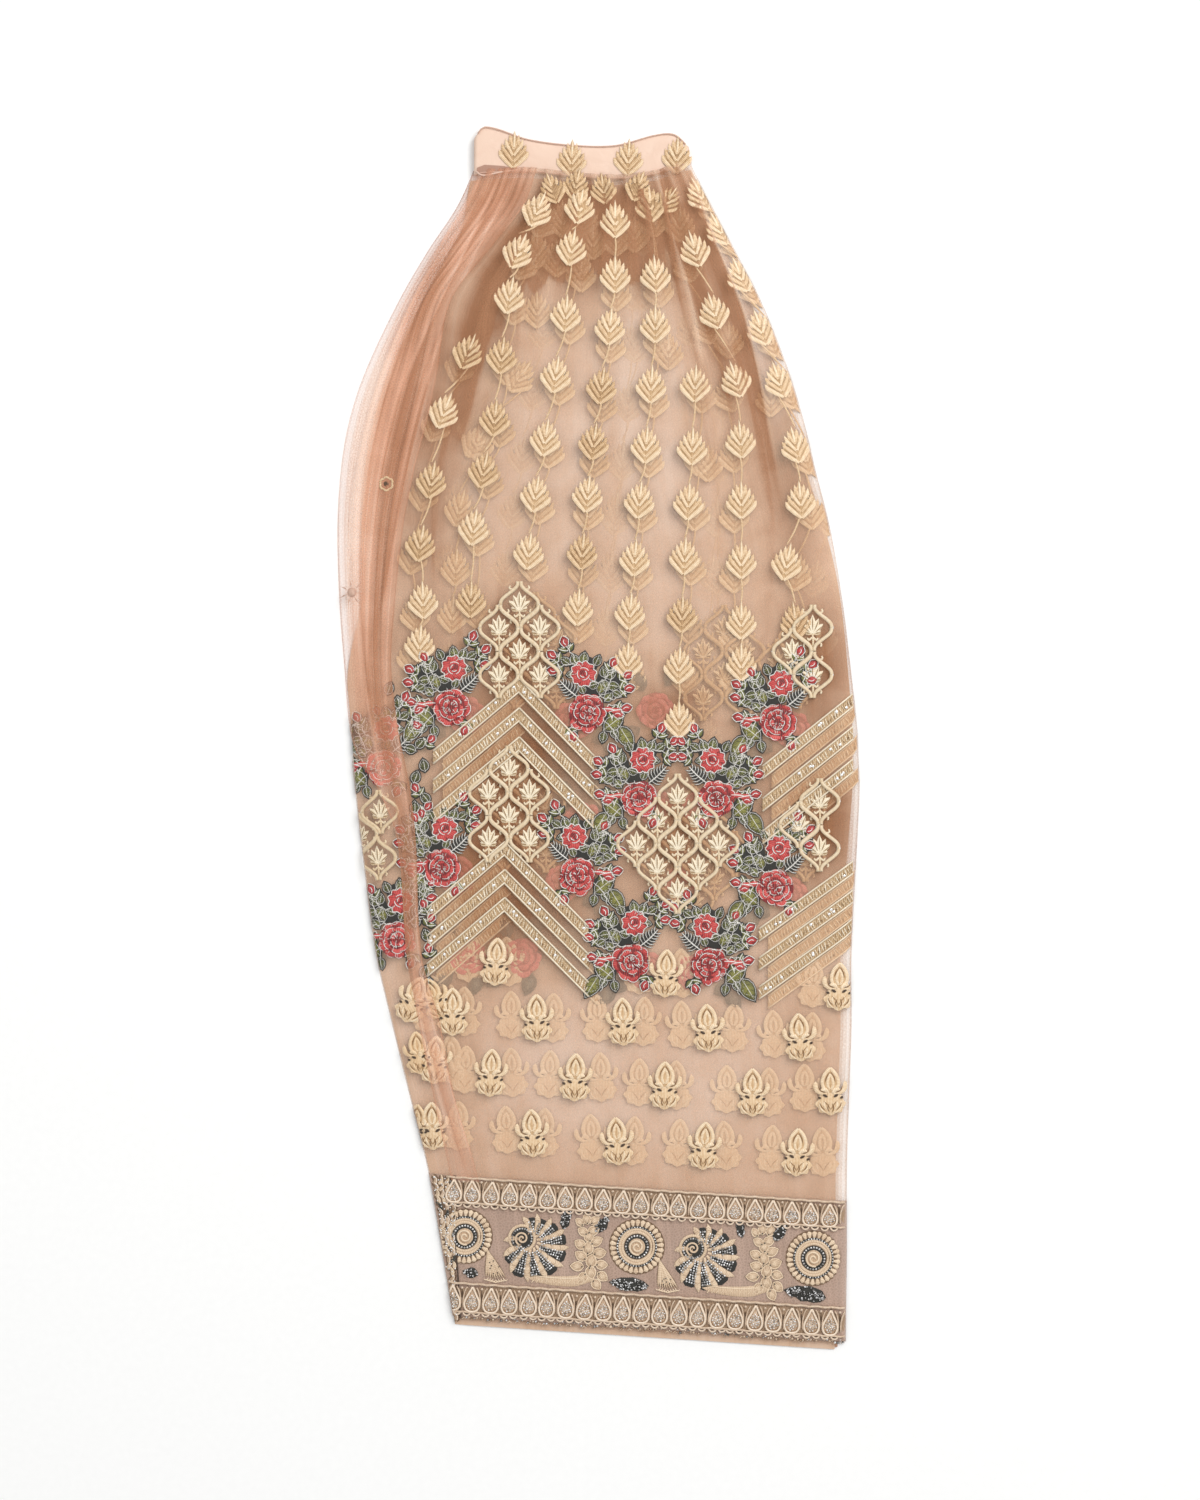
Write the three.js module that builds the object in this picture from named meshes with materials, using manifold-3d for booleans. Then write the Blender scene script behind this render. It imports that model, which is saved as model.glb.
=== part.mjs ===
// Farshi shalwar in embroidered net, folded in half with one leg on the other and laid flat.
// Millimetres: x runs across, y runs up to the waistband and z is the height above the floor.

import * as THREE from 'three';
import { mergeVertices } from 'three/addons/utils/BufferGeometryUtils.js';
import Module from 'manifold-3d';

const wasm = await Module();
wasm.setup();

// Cloth and the spaces between its layers
const WALL = 1.3;
const SEAM_GAP = 0.3;
const WAIST_GAP = 0.9;
const LAYER_GAP = 0.45;
const GUSSET_GAP = 1.2;
const EDGE_HEIGHT = 0.3;
const ROLL_WIDTH = 6;
const TUCK_WIDTH = 14;
const FLAT_INSET = 15;
const EDGE_CLEARANCE = 3;
const FOLD_INSET = 6;

// The gusset lies wholly on the leg below this height, and comes down to it over this run
const WHOLE_LEG_Y = 45;
const WHOLE_LEG_RUN = 50;

// The three hidden layers under the leg, whose edges stand out as lips along both sides
const HIDDEN = { top: 474, inset: 8, lips: 3, lipOut: 1.1, lipRise: 0.31, slopeRun: 400 };

// How many columns and rows of points each panel is worked out at
const LEG_GRID = { columns: 27, rows: 22 };
const GUSSET_GRID = { columns: 15, rows: 17 };
const BORDER_GRID = { columns: 24, rows: 5 };
const FAR_HEM_GRID = { columns: 14, rows: 2 };
const HIDDEN_GRID = { columns: 15, rows: 20 };
const TRIM_ROWS = 2;

// Points crowd towards a panel's two sides, and towards the top of the leg
const SIDE_CROWDING = 0.1;
const TOP_CROWDING = 1.15;

// The block that cuts one motif back from the next, and how far a sharp tip of it may reach
const CLEAR_BLOCK = { from: -5, to: 60 };
const SHARPEST_TIP = 0.35;

// Height of the raised work over the cloth that carries it
const THREAD_RELIEF = 1.0;
const THREAD_ROOT = 0.3;
const STRIP_RELIEF = 1.1;
const LATTICE_RELIEF = 1.2;
const SPRAY_RELIEF = 1.1;
const ROSE_RELIEF = 2.6;
const TRIM_RELIEF = 1.2;

// Lines across the hem, given at the middle of the garment with their slope to the right
const HEM_SLOPE = -0.066;
const WAIST_Y = 482;
const BORDER_TOP = -387;
const BORDER_FOOT = -508.5;
const FAR_HEM = { foot: -514, tuck: 3, height: 2.2, inset: 7, taper: 0.25 };

// Where the hem's two ends, the middle of the leg and the gusset's ends lie across
const HEM_ENDS = { left: -140, right: 213 };
const LEG_MIDDLE_X = 30;
const GUSSET_TOP_X = -52;
const GUSSET_FOOT_X = -115;

// The folded garment from above, a row for each height: its two edges, the edge of the
// embroidered leg, both edges of the plain gusset, and how high the hidden layers lie.
const STATIONS = [
  { y: 490, left: -106, right: 80, leg: -64, gussetLeft: -106, gussetRight: -52, crown: 4 },
  { y: 455, left: -122, right: 98, leg: -76, gussetLeft: -122, gussetRight: -64, crown: 9 },
  { y: 417, left: -147, right: 118, leg: -105, gussetLeft: -147, gussetRight: -93, crown: 12 },
  { y: 374, left: -172, right: 140, leg: -138, gussetLeft: -172, gussetRight: -126, crown: 12.5 },
  { y: 313, left: -201, right: 164, leg: -150, gussetLeft: -201, gussetRight: -138, crown: 12 },
  { y: 270, left: -215, right: 177, leg: -159, gussetLeft: -215, gussetRight: -147, crown: 11.5 },
  { y: 228, left: -222, right: 187, leg: -170, gussetLeft: -222, gussetRight: -158, crown: 11 },
  { y: 176, left: -225, right: 200, leg: -180, gussetLeft: -225, gussetRight: -168, crown: 10 },
  { y: 110, left: -223, right: 211, leg: -187, gussetLeft: -223, gussetRight: -175, crown: 9 },
  { y: 60, left: -219, right: 217, leg: -194, gussetLeft: -219, gussetRight: -178, crown: 8.5 },
  { y: 5, left: -214, right: 223, leg: -206, gussetLeft: -214, gussetRight: -172, crown: 8 },
  { y: -20, left: -212, right: 224, leg: -212, gussetLeft: -206, gussetRight: -167, crown: 8 },
  { y: -45, left: -210, right: 225, leg: -210, gussetLeft: -190, gussetRight: -162, crown: 8 },
  { y: -90, left: -205, right: 223, leg: -205, gussetLeft: -173, gussetRight: -157, crown: 7.5 },
  { y: -188, left: -192, right: 218, leg: -192, gussetLeft: -165, gussetRight: -152, crown: 7 },
  { y: -249, left: -178, right: 218, leg: -178, gussetLeft: -154, gussetRight: -136, crown: 6.5 },
  { y: -310, left: -163, right: 216, leg: -163, gussetLeft: -142, gussetRight: -124, crown: 6 },
  { y: -375, left: -147, right: 214, leg: -147, gussetLeft: -128, gussetRight: -105, crown: 5 },
  { y: -443, left: -135, right: 214, leg: -135, gussetLeft: -115, gussetRight: -90, crown: 4.5 },
  { y: -524, left: -122, right: 213, leg: -122, gussetLeft: -103, gussetRight: -76, crown: 3.5 },
];

// Gathers let into the waist seam, a row for each: its place as a share of the panel's width,
// its height, its half width as such a share, and the height where it has run out.
const LEG_GATHERS = [
  { at: 0.06, height: 2.4, width: 0.03, foot: 215 },
  { at: 0.15, height: 3.2, width: 0.035, foot: 160 },
  { at: 0.24, height: 2.0, width: 0.03, foot: 290 },
  { at: 0.32, height: 3.4, width: 0.03, foot: 250 },
  { at: 0.41, height: 2.2, width: 0.035, foot: 320 },
  { at: 0.5, height: 3.6, width: 0.03, foot: 290 },
  { at: 0.59, height: 2.6, width: 0.03, foot: 330 },
  { at: 0.67, height: 3.4, width: 0.035, foot: 240 },
  { at: 0.76, height: 2.6, width: 0.03, foot: 190 },
  { at: 0.84, height: 3.4, width: 0.035, foot: 150 },
  { at: 0.92, height: 2.2, width: 0.03, foot: 170 },
];
const GUSSET_FOLDS = [
  { at: 0.11, height: 2.2, width: 0.05, foot: 60 },
  { at: 0.24, height: 3.4, width: 0.055, foot: 20 },
  { at: 0.37, height: 2.6, width: 0.05, foot: 90 },
  { at: 0.5, height: 3.8, width: 0.055, foot: -10 },
  { at: 0.63, height: 2.4, width: 0.05, foot: 110 },
  { at: 0.76, height: 3.4, width: 0.05, foot: 30 },
  { at: 0.89, height: 2.0, width: 0.05, foot: -40 },
];
const FOLD_RUN_OUT = 170;

// Waistband: a closed ribbon folded to a quarter, so that four layers lie on each other
const BAND = { left: -107, right: 78, wall: 1.2, gap: 0.7, tuck: 2, steps: 8, levels: 2 };
const BAND_LEAVES = { start: -73, pitch: 49, count: 4, size: 0.88, foldInset: 13 };
const BAND_EDGES = [
  { x: -107, low: 482, high: 514 },
  { x: -98, low: 483, high: 524 },
  { x: -60, low: 484, high: 513 },
  { x: -20, low: 480, high: 508 },
  { x: 15, low: 478, high: 508 },
  { x: 50, low: 482, high: 517 },
  { x: 66, low: 488, high: 517 },
  { x: 78, low: 491, high: 506 },
];

// Strings of leaves, a row for each: its top and its last leaf, its sideways bow, its leaves
const LEAF_STRINGS = [
  { topX: -133, topY: 279, footX: -151, footY: 117, bow: -5, leaves: 4 },
  { topX: -52, topY: 452, footX: -110, footY: 117, bow: -6, leaves: 8 },
  { topX: -16, topY: 455, footX: -60, footY: 158, bow: 1, leaves: 7 },
  { topX: 14, topY: 443, footX: -18, footY: 110, bow: 1, leaves: 8 },
  { topX: 44, topY: 456, footX: 25, footY: 64, bow: 7, leaves: 9 },
  { topX: 83, topY: 302, footX: 69, footY: 14, bow: -1, leaves: 7 },
  { topX: 82, topY: 415, footX: 123, footY: 63, bow: 19, leaves: 8 },
  { topX: 104, topY: 436, footX: 171, footY: 98, bow: 27, leaves: 8 },
];

// Rows of buds, each with its first bud, its step across and its number of buds
const BUD_ROWS = [
  { x: -88, y: -195, step: 148, buds: 3 },
  { x: -125, y: -238, step: 74.5, buds: 5 },
  { x: -92, y: -290, step: 73.5, buds: 5 },
  { x: -132, y: -336, step: 75.5, buds: 5 },
];
const BUD_DROP = -0.068;

// Bouquets, each placed by its large rose; lean is 1 or -1 for the side that the spray leans to
const BOUQUETS = [
  { x: -127, y: 24, lean: 1 },
  { x: -135, y: -114, lean: 1 },
  { x: -10, y: 19, lean: -1 },
  { x: -18, y: -121, lean: -1 },
  { x: 35, y: -55, lean: 1 },
  { x: 101, y: -55, lean: -1 },
  { x: 28, y: -195, lean: 1 },
  { x: 95, y: -198, lean: -1 },
  { x: 154, y: 11, lean: 1 },
  { x: 152, y: -131, lean: 1 },
  { x: -185, y: -28, lean: 1 },
  { x: -173, y: -176, lean: 1 },
];

// Sets of three metallic strips, each strip bent at its apex, with the run of its two arms
const STRIP_SETS = [
  { x: -70, y: 49, pitch: -25, leftRun: 75, leftDrop: 61, rightRun: 66, rightDrop: 68 },
  { x: -80.5, y: -91, pitch: -24, leftRun: 67, leftDrop: 57, rightRun: 69, rightDrop: 72 },
  { x: 225, y: 36, pitch: -27, leftRun: 80, leftDrop: 61, rightRun: 0, rightDrop: 0 },
  { x: 225, y: -108, pitch: -25, leftRun: 81, leftDrop: 56, rightRun: 0, rightDrop: 0 },
];
const STRIPS_IN_SET = 3;
const STRIP_DROP = 14;
const STRIP_STEPS = 5;
const STRIP_CROWDING = 1.9;

// Ogee lattices, a row of cells given by how many half steps each lies across from the middle
const CELL = { halfWidth: 17.6, halfHeight: 20.2, bar: 2.4 };
const LATTICES = [
  { name: 'lattice_left_upper', x: -68, y: 112, rows: [[0], [-1, 1], [0], [-1, 1]] },
  { name: 'lattice_left_lower', x: -77, y: -29, rows: [[0], [-1, 1], [0], [-1, 1]] },
  { name: 'lattice_centre', x: 68, y: -53, rows: [[0], [-1, 1], [-2, 0, 2], [-1, 1], [0]] },
  { name: 'lattice_right_upper', x: 184, y: 92, rows: [[0], [-1], [0]] },
  { name: 'lattice_right_lower', x: 190, y: -57, rows: [[0], [-1], [0]] },
];

// Outlines of the worked motifs, right half only, from the tip down to the foot
const LEAF_HALF = [[0, 16.5], [7, 7], [12, -2], [0, -16.5]];
const BUD_HALF = [[0, 21], [5, 8], [12, 3], [9.5, -12], [0, -21]];
const SPRIG_HALF = [[2.5, -14], [2, -10], [8, -2], [0, 8]];
const TREE_HALF = [[0, 31], [12, 21], [6, 8], [16, -6], [8, -17], [14, -29], [0, -31]];
const TUFT_HALF = [[0, 13], [4, 10], [7, -2], [13, -12], [0, -14]];
const SPRAY = [
  [-12, -29], [20, -24], [26, 12], [34, 38], [12, 58], [-20, 60], [-36, 34], [-26, 14], [-36, -8],
];
const ROSE = { radius: 16, sides: 8, narrowing: 0.78 };
const SMALL_ROSE = { x: 2, y: 34, radius: 10, sides: 6, narrowing: 0.75 };

// Motifs of the hem border, in mm from its left end, at the middle of its height
const BORDER_MOTIFS = [
  { kind: 'disc', x: -115, lift: 6 },
  { kind: 'palmette', x: -55, lift: 2 },
  { kind: 'tree', x: -9, lift: 0 },
  { kind: 'disc', x: 34, lift: 6 },
  { kind: 'palmette', x: 93, lift: 2 },
  { kind: 'tree', x: 142, lift: 0 },
  { kind: 'disc', x: 185, lift: 5 },
  { kind: 'tuft', x: -91, lift: -17 },
  { kind: 'tuft', x: 57, lift: -17 },
];
const BORDER_MIDDLE = -445;
const DISC = { radius: 21.5, sides: 12, hubRadius: 9, hubSides: 6, narrowing: 0.9 };
const PALMETTE = { radius: 31, waist: 0.62, lobes: 9 };
const TEARDROPS = 21;
const TRIM_THICKNESS = 0.6;
const UPPER_TRIM = { top: -389, foot: -409 };
const LOWER_TRIM = { top: -480, foot: -506 };

const COLOURS = {
  hidden: '#b08a6c', net: '#dcbda4', gusset: '#cd9c84', satin: '#ebcfbe', gold: '#dcc39b',
  strip: '#d8bb8c', rose: '#a5464b', border: '#b99b86', trim: '#b9a28b',
};

// Reads one column of a table at any height, on a smooth curve through its rows
function reading(table, key, column, at) {
  const last = table.length - 1;
  const direction = Math.sign(table[last][key] - table[0][key]);
  let i = 0;
  while (i < last - 1 && direction * (at - table[i + 1][key]) > 0) {
    i += 1;
  }
  const slope = (k) => {
    const before = table[Math.max(k - 1, 0)];
    const after = table[Math.min(k + 1, last)];
    return (after[column] - before[column]) / (after[key] - before[key]);
  };
  const span = table[i + 1][key] - table[i][key];
  const s = THREE.MathUtils.clamp((at - table[i][key]) / span, 0, 1);
  const blend = s * s * (3 - 2 * s);
  const leave = s * (1 - s) * (1 - s) * span * slope(i);
  const arrive = s * s * (s - 1) * span * slope(i + 1);
  return THREE.MathUtils.lerp(table[i][column], table[i + 1][column], blend) + leave + arrive;
}

const edge = (column, y) => reading(STATIONS, 'y', column, y);
const bandEdge = (column, x) => reading(BAND_EDGES, 'x', column, x);
const hemLine = (middle, x) => middle + HEM_SLOPE * x;

// A point on a line across the hem, by its share of the way from the left end to the right
function hemPoint(middle, share, inset = 0) {
  const left = edge('left', hemLine(middle, HEM_ENDS.left)) + inset;
  const right = edge('right', hemLine(middle, HEM_ENDS.right)) - inset;
  const x = THREE.MathUtils.lerp(left, right, share);
  return { x, y: hemLine(middle, x) };
}

// Height of the hidden layers: a low pillow that rolls down to the floor at both edges
function hiddenTop(x, y) {
  const rise = Math.max(0, Math.min(x - edge('left', y), edge('right', y) - x));
  return EDGE_HEIGHT + edge('crown', y) * (1 - Math.exp(-rise / ROLL_WIDTH));
}

function foldHeight(folds, share, y) {
  let height = 0;
  for (const fold of folds) {
    const away = (share - fold.at) / fold.width;
    const strength = THREE.MathUtils.smoothstep(y, fold.foot, fold.foot + FOLD_RUN_OUT);
    height += fold.height * strength * Math.exp(-away * away);
  }
  return height;
}

function legTop(x, y) {
  const left = edge('leg', y);
  const share = (x - left) / (edge('right', y) - left);
  return hiddenTop(x, y) + LAYER_GAP + WALL + foldHeight(LEG_GATHERS, share, y);
}

function borderTop(x, y) {
  return hiddenTop(x, y) + LAYER_GAP + WALL;
}

// The gusset lies on the hidden layers, and steps up where it covers the leg's edge
function gussetTop(x, y) {
  const left = edge('gussetLeft', y);
  const share = (x - left) / (edge('gussetRight', y) - left);
  const legEdge = edge('leg', y);
  const onLeg = THREE.MathUtils.smoothstep(x, legEdge - TUCK_WIDTH, legEdge - EDGE_CLEARANCE);
  const below = 1 - THREE.MathUtils.smoothstep(y, WHOLE_LEG_Y, WHOLE_LEG_Y + WHOLE_LEG_RUN);
  const underside = THREE.MathUtils.lerp(
    hiddenTop(x, y) + LAYER_GAP,
    legTop(x, y) + GUSSET_GAP,
    Math.max(onLeg, below),
  );
  return underside + WALL + foldHeight(GUSSET_FOLDS, share, y);
}

// Closes a grid of outer points and a grid of inner points into one wall. place gives, for two
// shares from 0 to 1 across and down, x, y, the outer height and the inner height.
function wall(columns, rows, place) {
  const positions = [];
  const index = [];
  for (const side of ['top', 'foot']) {
    for (let j = 0; j <= rows; j += 1) {
      for (let i = 0; i <= columns; i += 1) {
        const point = place(i / columns, j / rows);
        positions.push(point.x, point.y, point[side]);
      }
    }
  }
  const outer = (i, j) => j * (columns + 1) + i;
  const inner = (i, j) => outer(i, j) + (columns + 1) * (rows + 1);
  const quad = (a, b, c, d) => index.push(a, b, c, a, c, d);
  for (let j = 0; j < rows; j += 1) {
    for (let i = 0; i < columns; i += 1) {
      quad(outer(i, j), outer(i, j + 1), outer(i + 1, j + 1), outer(i + 1, j));
      quad(inner(i, j), inner(i + 1, j), inner(i + 1, j + 1), inner(i, j + 1));
    }
  }
  for (let i = 0; i < columns; i += 1) {
    quad(outer(i, 0), outer(i + 1, 0), inner(i + 1, 0), inner(i, 0));
    quad(outer(i + 1, rows), outer(i, rows), inner(i, rows), inner(i + 1, rows));
  }
  for (let j = 0; j < rows; j += 1) {
    quad(outer(0, j + 1), outer(0, j), inner(0, j), inner(0, j + 1));
    quad(outer(columns, j), outer(columns, j + 1), inner(columns, j + 1), inner(columns, j));
  }
  return shape(positions, index);
}

function shape(positions, index) {
  const geometry = new THREE.BufferGeometry();
  geometry.setAttribute('position', new THREE.Float32BufferAttribute(positions, 3));
  geometry.setIndex(index);
  geometry.computeVertexNormals();
  return geometry;
}

// A flat outline given some thickness over a surface, so that it follows the cloth under it
function plate({ contour, holes = [], surface, from, to, narrowing = 1 }) {
  const middle = contour.reduce((sum, point) => sum.add(point), new THREE.Vector2());
  middle.divideScalar(contour.length);
  const rings = [contour, ...holes];
  const points = rings.flat();
  const positions = [];
  for (const point of points) {
    positions.push(point.x, point.y, surface(point.x, point.y) + from);
  }
  for (const point of points) {
    const drawn = point.clone().lerp(middle, 1 - narrowing);
    positions.push(drawn.x, drawn.y, surface(point.x, point.y) + to);
  }
  const index = [];
  for (const [a, b, c] of THREE.ShapeUtils.triangulateShape(contour, holes)) {
    index.push(a, c, b, a + points.length, b + points.length, c + points.length);
  }
  let start = 0;
  for (const ring of rings) {
    for (let i = 0; i < ring.length; i += 1) {
      const a = start + i;
      const b = start + ((i + 1) % ring.length);
      index.push(a, b, b + points.length, a, b + points.length, a + points.length);
    }
    start += ring.length;
  }
  return shape(positions, index);
}

// Solids for joining and cutting
function solid(geometry) {
  const bare = geometry.clone();
  bare.deleteAttribute('normal');
  const merged = mergeVertices(bare);
  return new wasm.Manifold(new wasm.Mesh({
    numProp: 3,
    vertProperties: new Float32Array(merged.attributes.position.array),
    triVerts: new Uint32Array(merged.index.array),
  }));
}

function geometryOf(manifold) {
  const mesh = manifold.getMesh();
  return shape(mesh.vertProperties, [...mesh.triVerts]);
}

const joined = (solids) => solids.reduce((whole, next) => whole.add(next));
const cutBack = (body, obstacles) => obstacles.reduce((rest, next) => rest.subtract(next), body);

function largestPiece(body) {
  const pieces = body.decompose();
  return pieces.reduce((best, piece) => (piece.volume() > best.volume() ? piece : best));
}

// A tall block over an outline and the gap round it, which keeps one motif clear of the next
function keepClear(contour) {
  const floor = () => 0;
  const { from, to } = CLEAR_BLOCK;
  return solid(plate({ contour: grown(contour, LAYER_GAP), surface: floor, from, to }));
}

// Right half of an outline, made whole by its mirror image
function mirrored(half) {
  const right = half.map(([x, y]) => new THREE.Vector2(x, y));
  const left = half.slice(1, -1).map(([x, y]) => new THREE.Vector2(-x, y));
  return [...left, right[right.length - 1], ...right.slice(0, -1).reverse()];
}

function roundOutline(x, y, radius, sides) {
  const points = [];
  for (let i = 0; i < sides; i += 1) {
    const angle = (2 * Math.PI * i) / sides;
    points.push(new THREE.Vector2(x + radius * Math.cos(angle), y + radius * Math.sin(angle)));
  }
  return points;
}

function placed(contour, x, y, turn = 0, size = 1) {
  const pivot = new THREE.Vector2();
  return contour.map((point) => {
    const moved = point.clone().multiplyScalar(size).rotateAround(pivot, turn);
    return moved.add(new THREE.Vector2(x, y));
  });
}

// Moves every side of an anticlockwise outline outwards by one distance, less at sharp tips
function grown(contour, distance) {
  const count = contour.length;
  const outward = (from, to) => new THREE.Vector2(to.y - from.y, from.x - to.x).normalize();
  return contour.map((point, i) => {
    const before = outward(contour[(i + count - 1) % count], point);
    const after = outward(point, contour[(i + 1) % count]);
    const mean = before.clone().add(after).normalize();
    const reach = distance / Math.max(SHARPEST_TIP, mean.dot(after));
    return point.clone().addScaledVector(mean, reach);
  });
}

// Draws an outline in from the rolled left edge of the cloth
function onTheFlat(contour, inset = FLAT_INSET) {
  for (const point of contour) {
    point.x = Math.max(point.x, edge('left', point.y) + inset);
  }
  return contour;
}

// Places of the leaves along one string, with the turn of each
function leafPlaces(string) {
  const places = [];
  for (let i = 0; i < string.leaves; i += 1) {
    const s = i / (string.leaves - 1);
    const x = THREE.MathUtils.lerp(string.topX, string.footX, s) + 4 * string.bow * s * (1 - s);
    const y = THREE.MathUtils.lerp(string.topY, string.footY, s);
    const slope = string.footX - string.topX + 4 * string.bow * (1 - 2 * s);
    places.push({ x, y, turn: Math.atan2(slope, string.topY - string.footY) });
  }
  return places;
}

const smoothed = (share) => share - SIDE_CROWDING * Math.sin(2 * Math.PI * share);

function legPanel() {
  return wall(LEG_GRID.columns, LEG_GRID.rows, (across, down) => {
    const drop = Math.pow(down, TOP_CROWDING);
    const share = smoothed(across);
    const guess = THREE.MathUtils.lerp(WAIST_Y, hemLine(BORDER_TOP, LEG_MIDDLE_X), drop);
    const x = THREE.MathUtils.lerp(edge('leg', guess), edge('right', guess), share);
    const highest = bandEdge('low', Math.min(x, BAND.right)) - WAIST_GAP;
    const y = THREE.MathUtils.lerp(highest, hemLine(BORDER_TOP, x) + SEAM_GAP, drop);
    const top = legTop(x, y);
    return { x, y, top, foot: top - WALL };
  });
}

function gussetPlace(across, down) {
  const share = smoothed(across);
  const start = bandEdge('low', THREE.MathUtils.lerp(BAND.left, GUSSET_TOP_X, share)) - WAIST_GAP;
  const end = hemLine(BORDER_TOP, GUSSET_FOOT_X) + SEAM_GAP;
  const y = THREE.MathUtils.lerp(start, end, down);
  const x = THREE.MathUtils.lerp(edge('gussetLeft', y), edge('gussetRight', y), share);
  return new THREE.Vector2(x, y);
}

function gussetPanel() {
  return wall(GUSSET_GRID.columns, GUSSET_GRID.rows, (across, down) => {
    const { x, y } = gussetPlace(across, down);
    const top = gussetTop(x, y);
    return { x, y, top, foot: top - WALL };
  });
}

function borderPanel() {
  return wall(BORDER_GRID.columns, BORDER_GRID.rows, (across, down) => {
    const middle = THREE.MathUtils.lerp(BORDER_TOP - SEAM_GAP, BORDER_FOOT, down);
    const { x, y } = hemPoint(middle, smoothed(across));
    const top = borderTop(x, y);
    return { x, y, top, foot: top - WALL };
  });
}

// A trim of teardrops that lies on the border: each teardrop is one bump of its outer face
function trimPanel({ top, foot }) {
  return wall(2 * TEARDROPS, TRIM_ROWS, (across, down) => {
    const { x, y } = hemPoint(THREE.MathUtils.lerp(top, foot, down), across, EDGE_CLEARANCE);
    const under = borderTop(x, y) + LAYER_GAP;
    const bump = Math.abs(Math.sin(Math.PI * TEARDROPS * across)) * Math.sin(Math.PI * down);
    return { x, y, top: under + TRIM_RELIEF * (TRIM_THICKNESS + bump), foot: under };
  });
}

function farHemPanel() {
  return wall(FAR_HEM_GRID.columns, FAR_HEM_GRID.rows, (across, down) => {
    const middle = THREE.MathUtils.lerp(BORDER_FOOT + FAR_HEM.tuck, FAR_HEM.foot, down);
    const { x, y } = hemPoint(middle, across, FAR_HEM.inset);
    return { x, y, top: FAR_HEM.height * (1 - FAR_HEM.taper * down), foot: 0 };
  });
}

// The three hidden layers as one flat-bottomed solid, with a lip for each along both sides
function hiddenLayers() {
  const { columns, rows } = HIDDEN_GRID;
  const foot = BORDER_FOOT + FAR_HEM.tuck + SEAM_GAP;
  const positions = [];
  let ring = 0;
  for (let j = 0; j <= rows; j += 1) {
    const middle = THREE.MathUtils.lerp(HIDDEN.top, foot, j / rows);
    const slope = HEM_SLOPE * THREE.MathUtils.smoothstep(-middle, 0, HIDDEN.slopeRun);
    const place = (x) => middle + slope * x;
    const left = edge('left', place(edge('left', middle))) + HIDDEN.inset;
    const right = edge('right', place(edge('right', middle))) - HIDDEN.inset;
    const side = (x, outward) => {
      const height = hiddenTop(x - outward * 2, place(x)) - EDGE_HEIGHT;
      const points = [[0, 0]];
      for (let lip = 0; lip < HIDDEN.lips; lip += 1) {
        points.push([HIDDEN.lipOut, (lip + 0.5) * HIDDEN.lipRise], [0, (lip + 1) * HIDDEN.lipRise]);
      }
      return points.map(([out, up]) => [x + outward * (out - 1), height * up]);
    };
    const section = side(right, 1);
    for (let i = 1; i < columns; i += 1) {
      const x = THREE.MathUtils.lerp(right, left, smoothed(i / columns));
      section.push([x, hiddenTop(x, place(x)) - EDGE_HEIGHT]);
    }
    section.push(...side(left, -1).reverse());
    ring = section.length;
    for (const [x, z] of section) {
      positions.push(x, place(x), z);
    }
  }
  const index = [];
  for (let j = 0; j < rows; j += 1) {
    for (let i = 0; i < ring; i += 1) {
      const a = j * ring + i;
      const b = j * ring + ((i + 1) % ring);
      index.push(a, b, b + ring, a, b + ring, a + ring);
    }
  }
  const cap = (start) => {
    const outline = [];
    for (let i = 0; i < ring; i += 1) {
      const at = 3 * (start + i);
      outline.push(new THREE.Vector2(positions[at], positions[at + 2]));
    }
    return THREE.ShapeUtils.triangulateShape(outline, []);
  };
  for (const [a, b, c] of cap(0)) {
    index.push(a, c, b);
  }
  const end = rows * ring;
  for (const [a, b, c] of cap(end)) {
    index.push(end + a, end + b, end + c);
  }
  return shape(positions, index);
}

// Waistband: the middle line of the folded ribbon in x and z, then a wall round it
function bandPath() {
  const pitch = BAND.wall + BAND.gap;
  const height = (layer) => BAND.wall / 2 + layer * pitch;
  const path = [];
  const straight = (from, to, z) => {
    for (let i = 0; i < BAND.steps; i += 1) {
      path.push(new THREE.Vector2(THREE.MathUtils.lerp(from, to, i / BAND.steps), z));
    }
  };
  const turn = (x, z, radius, start, sweep, steps) => {
    for (let i = 0; i < steps; i += 1) {
      const angle = start + (sweep * i) / steps;
      path.push(new THREE.Vector2(x + radius * Math.cos(angle), z + radius * Math.sin(angle)));
    }
  };
  const outerRight = BAND.right - pitch / 2;
  const outerLeft = BAND.left + 1.5 * pitch;
  const innerLeft = outerLeft + BAND.tuck;
  straight(outerLeft, outerRight, height(3));
  turn(outerRight, height(2.5), pitch / 2, Math.PI / 2, -Math.PI, 4);
  straight(outerRight, innerLeft, height(2));
  turn(innerLeft, height(1.5), pitch / 2, Math.PI / 2, Math.PI, 4);
  straight(innerLeft, outerRight, height(1));
  turn(outerRight, height(0.5), pitch / 2, Math.PI / 2, -Math.PI, 4);
  straight(outerRight, outerLeft, height(0));
  turn(outerLeft, height(1.5), 1.5 * pitch, -Math.PI / 2, -Math.PI, 6);
  return path;
}

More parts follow.
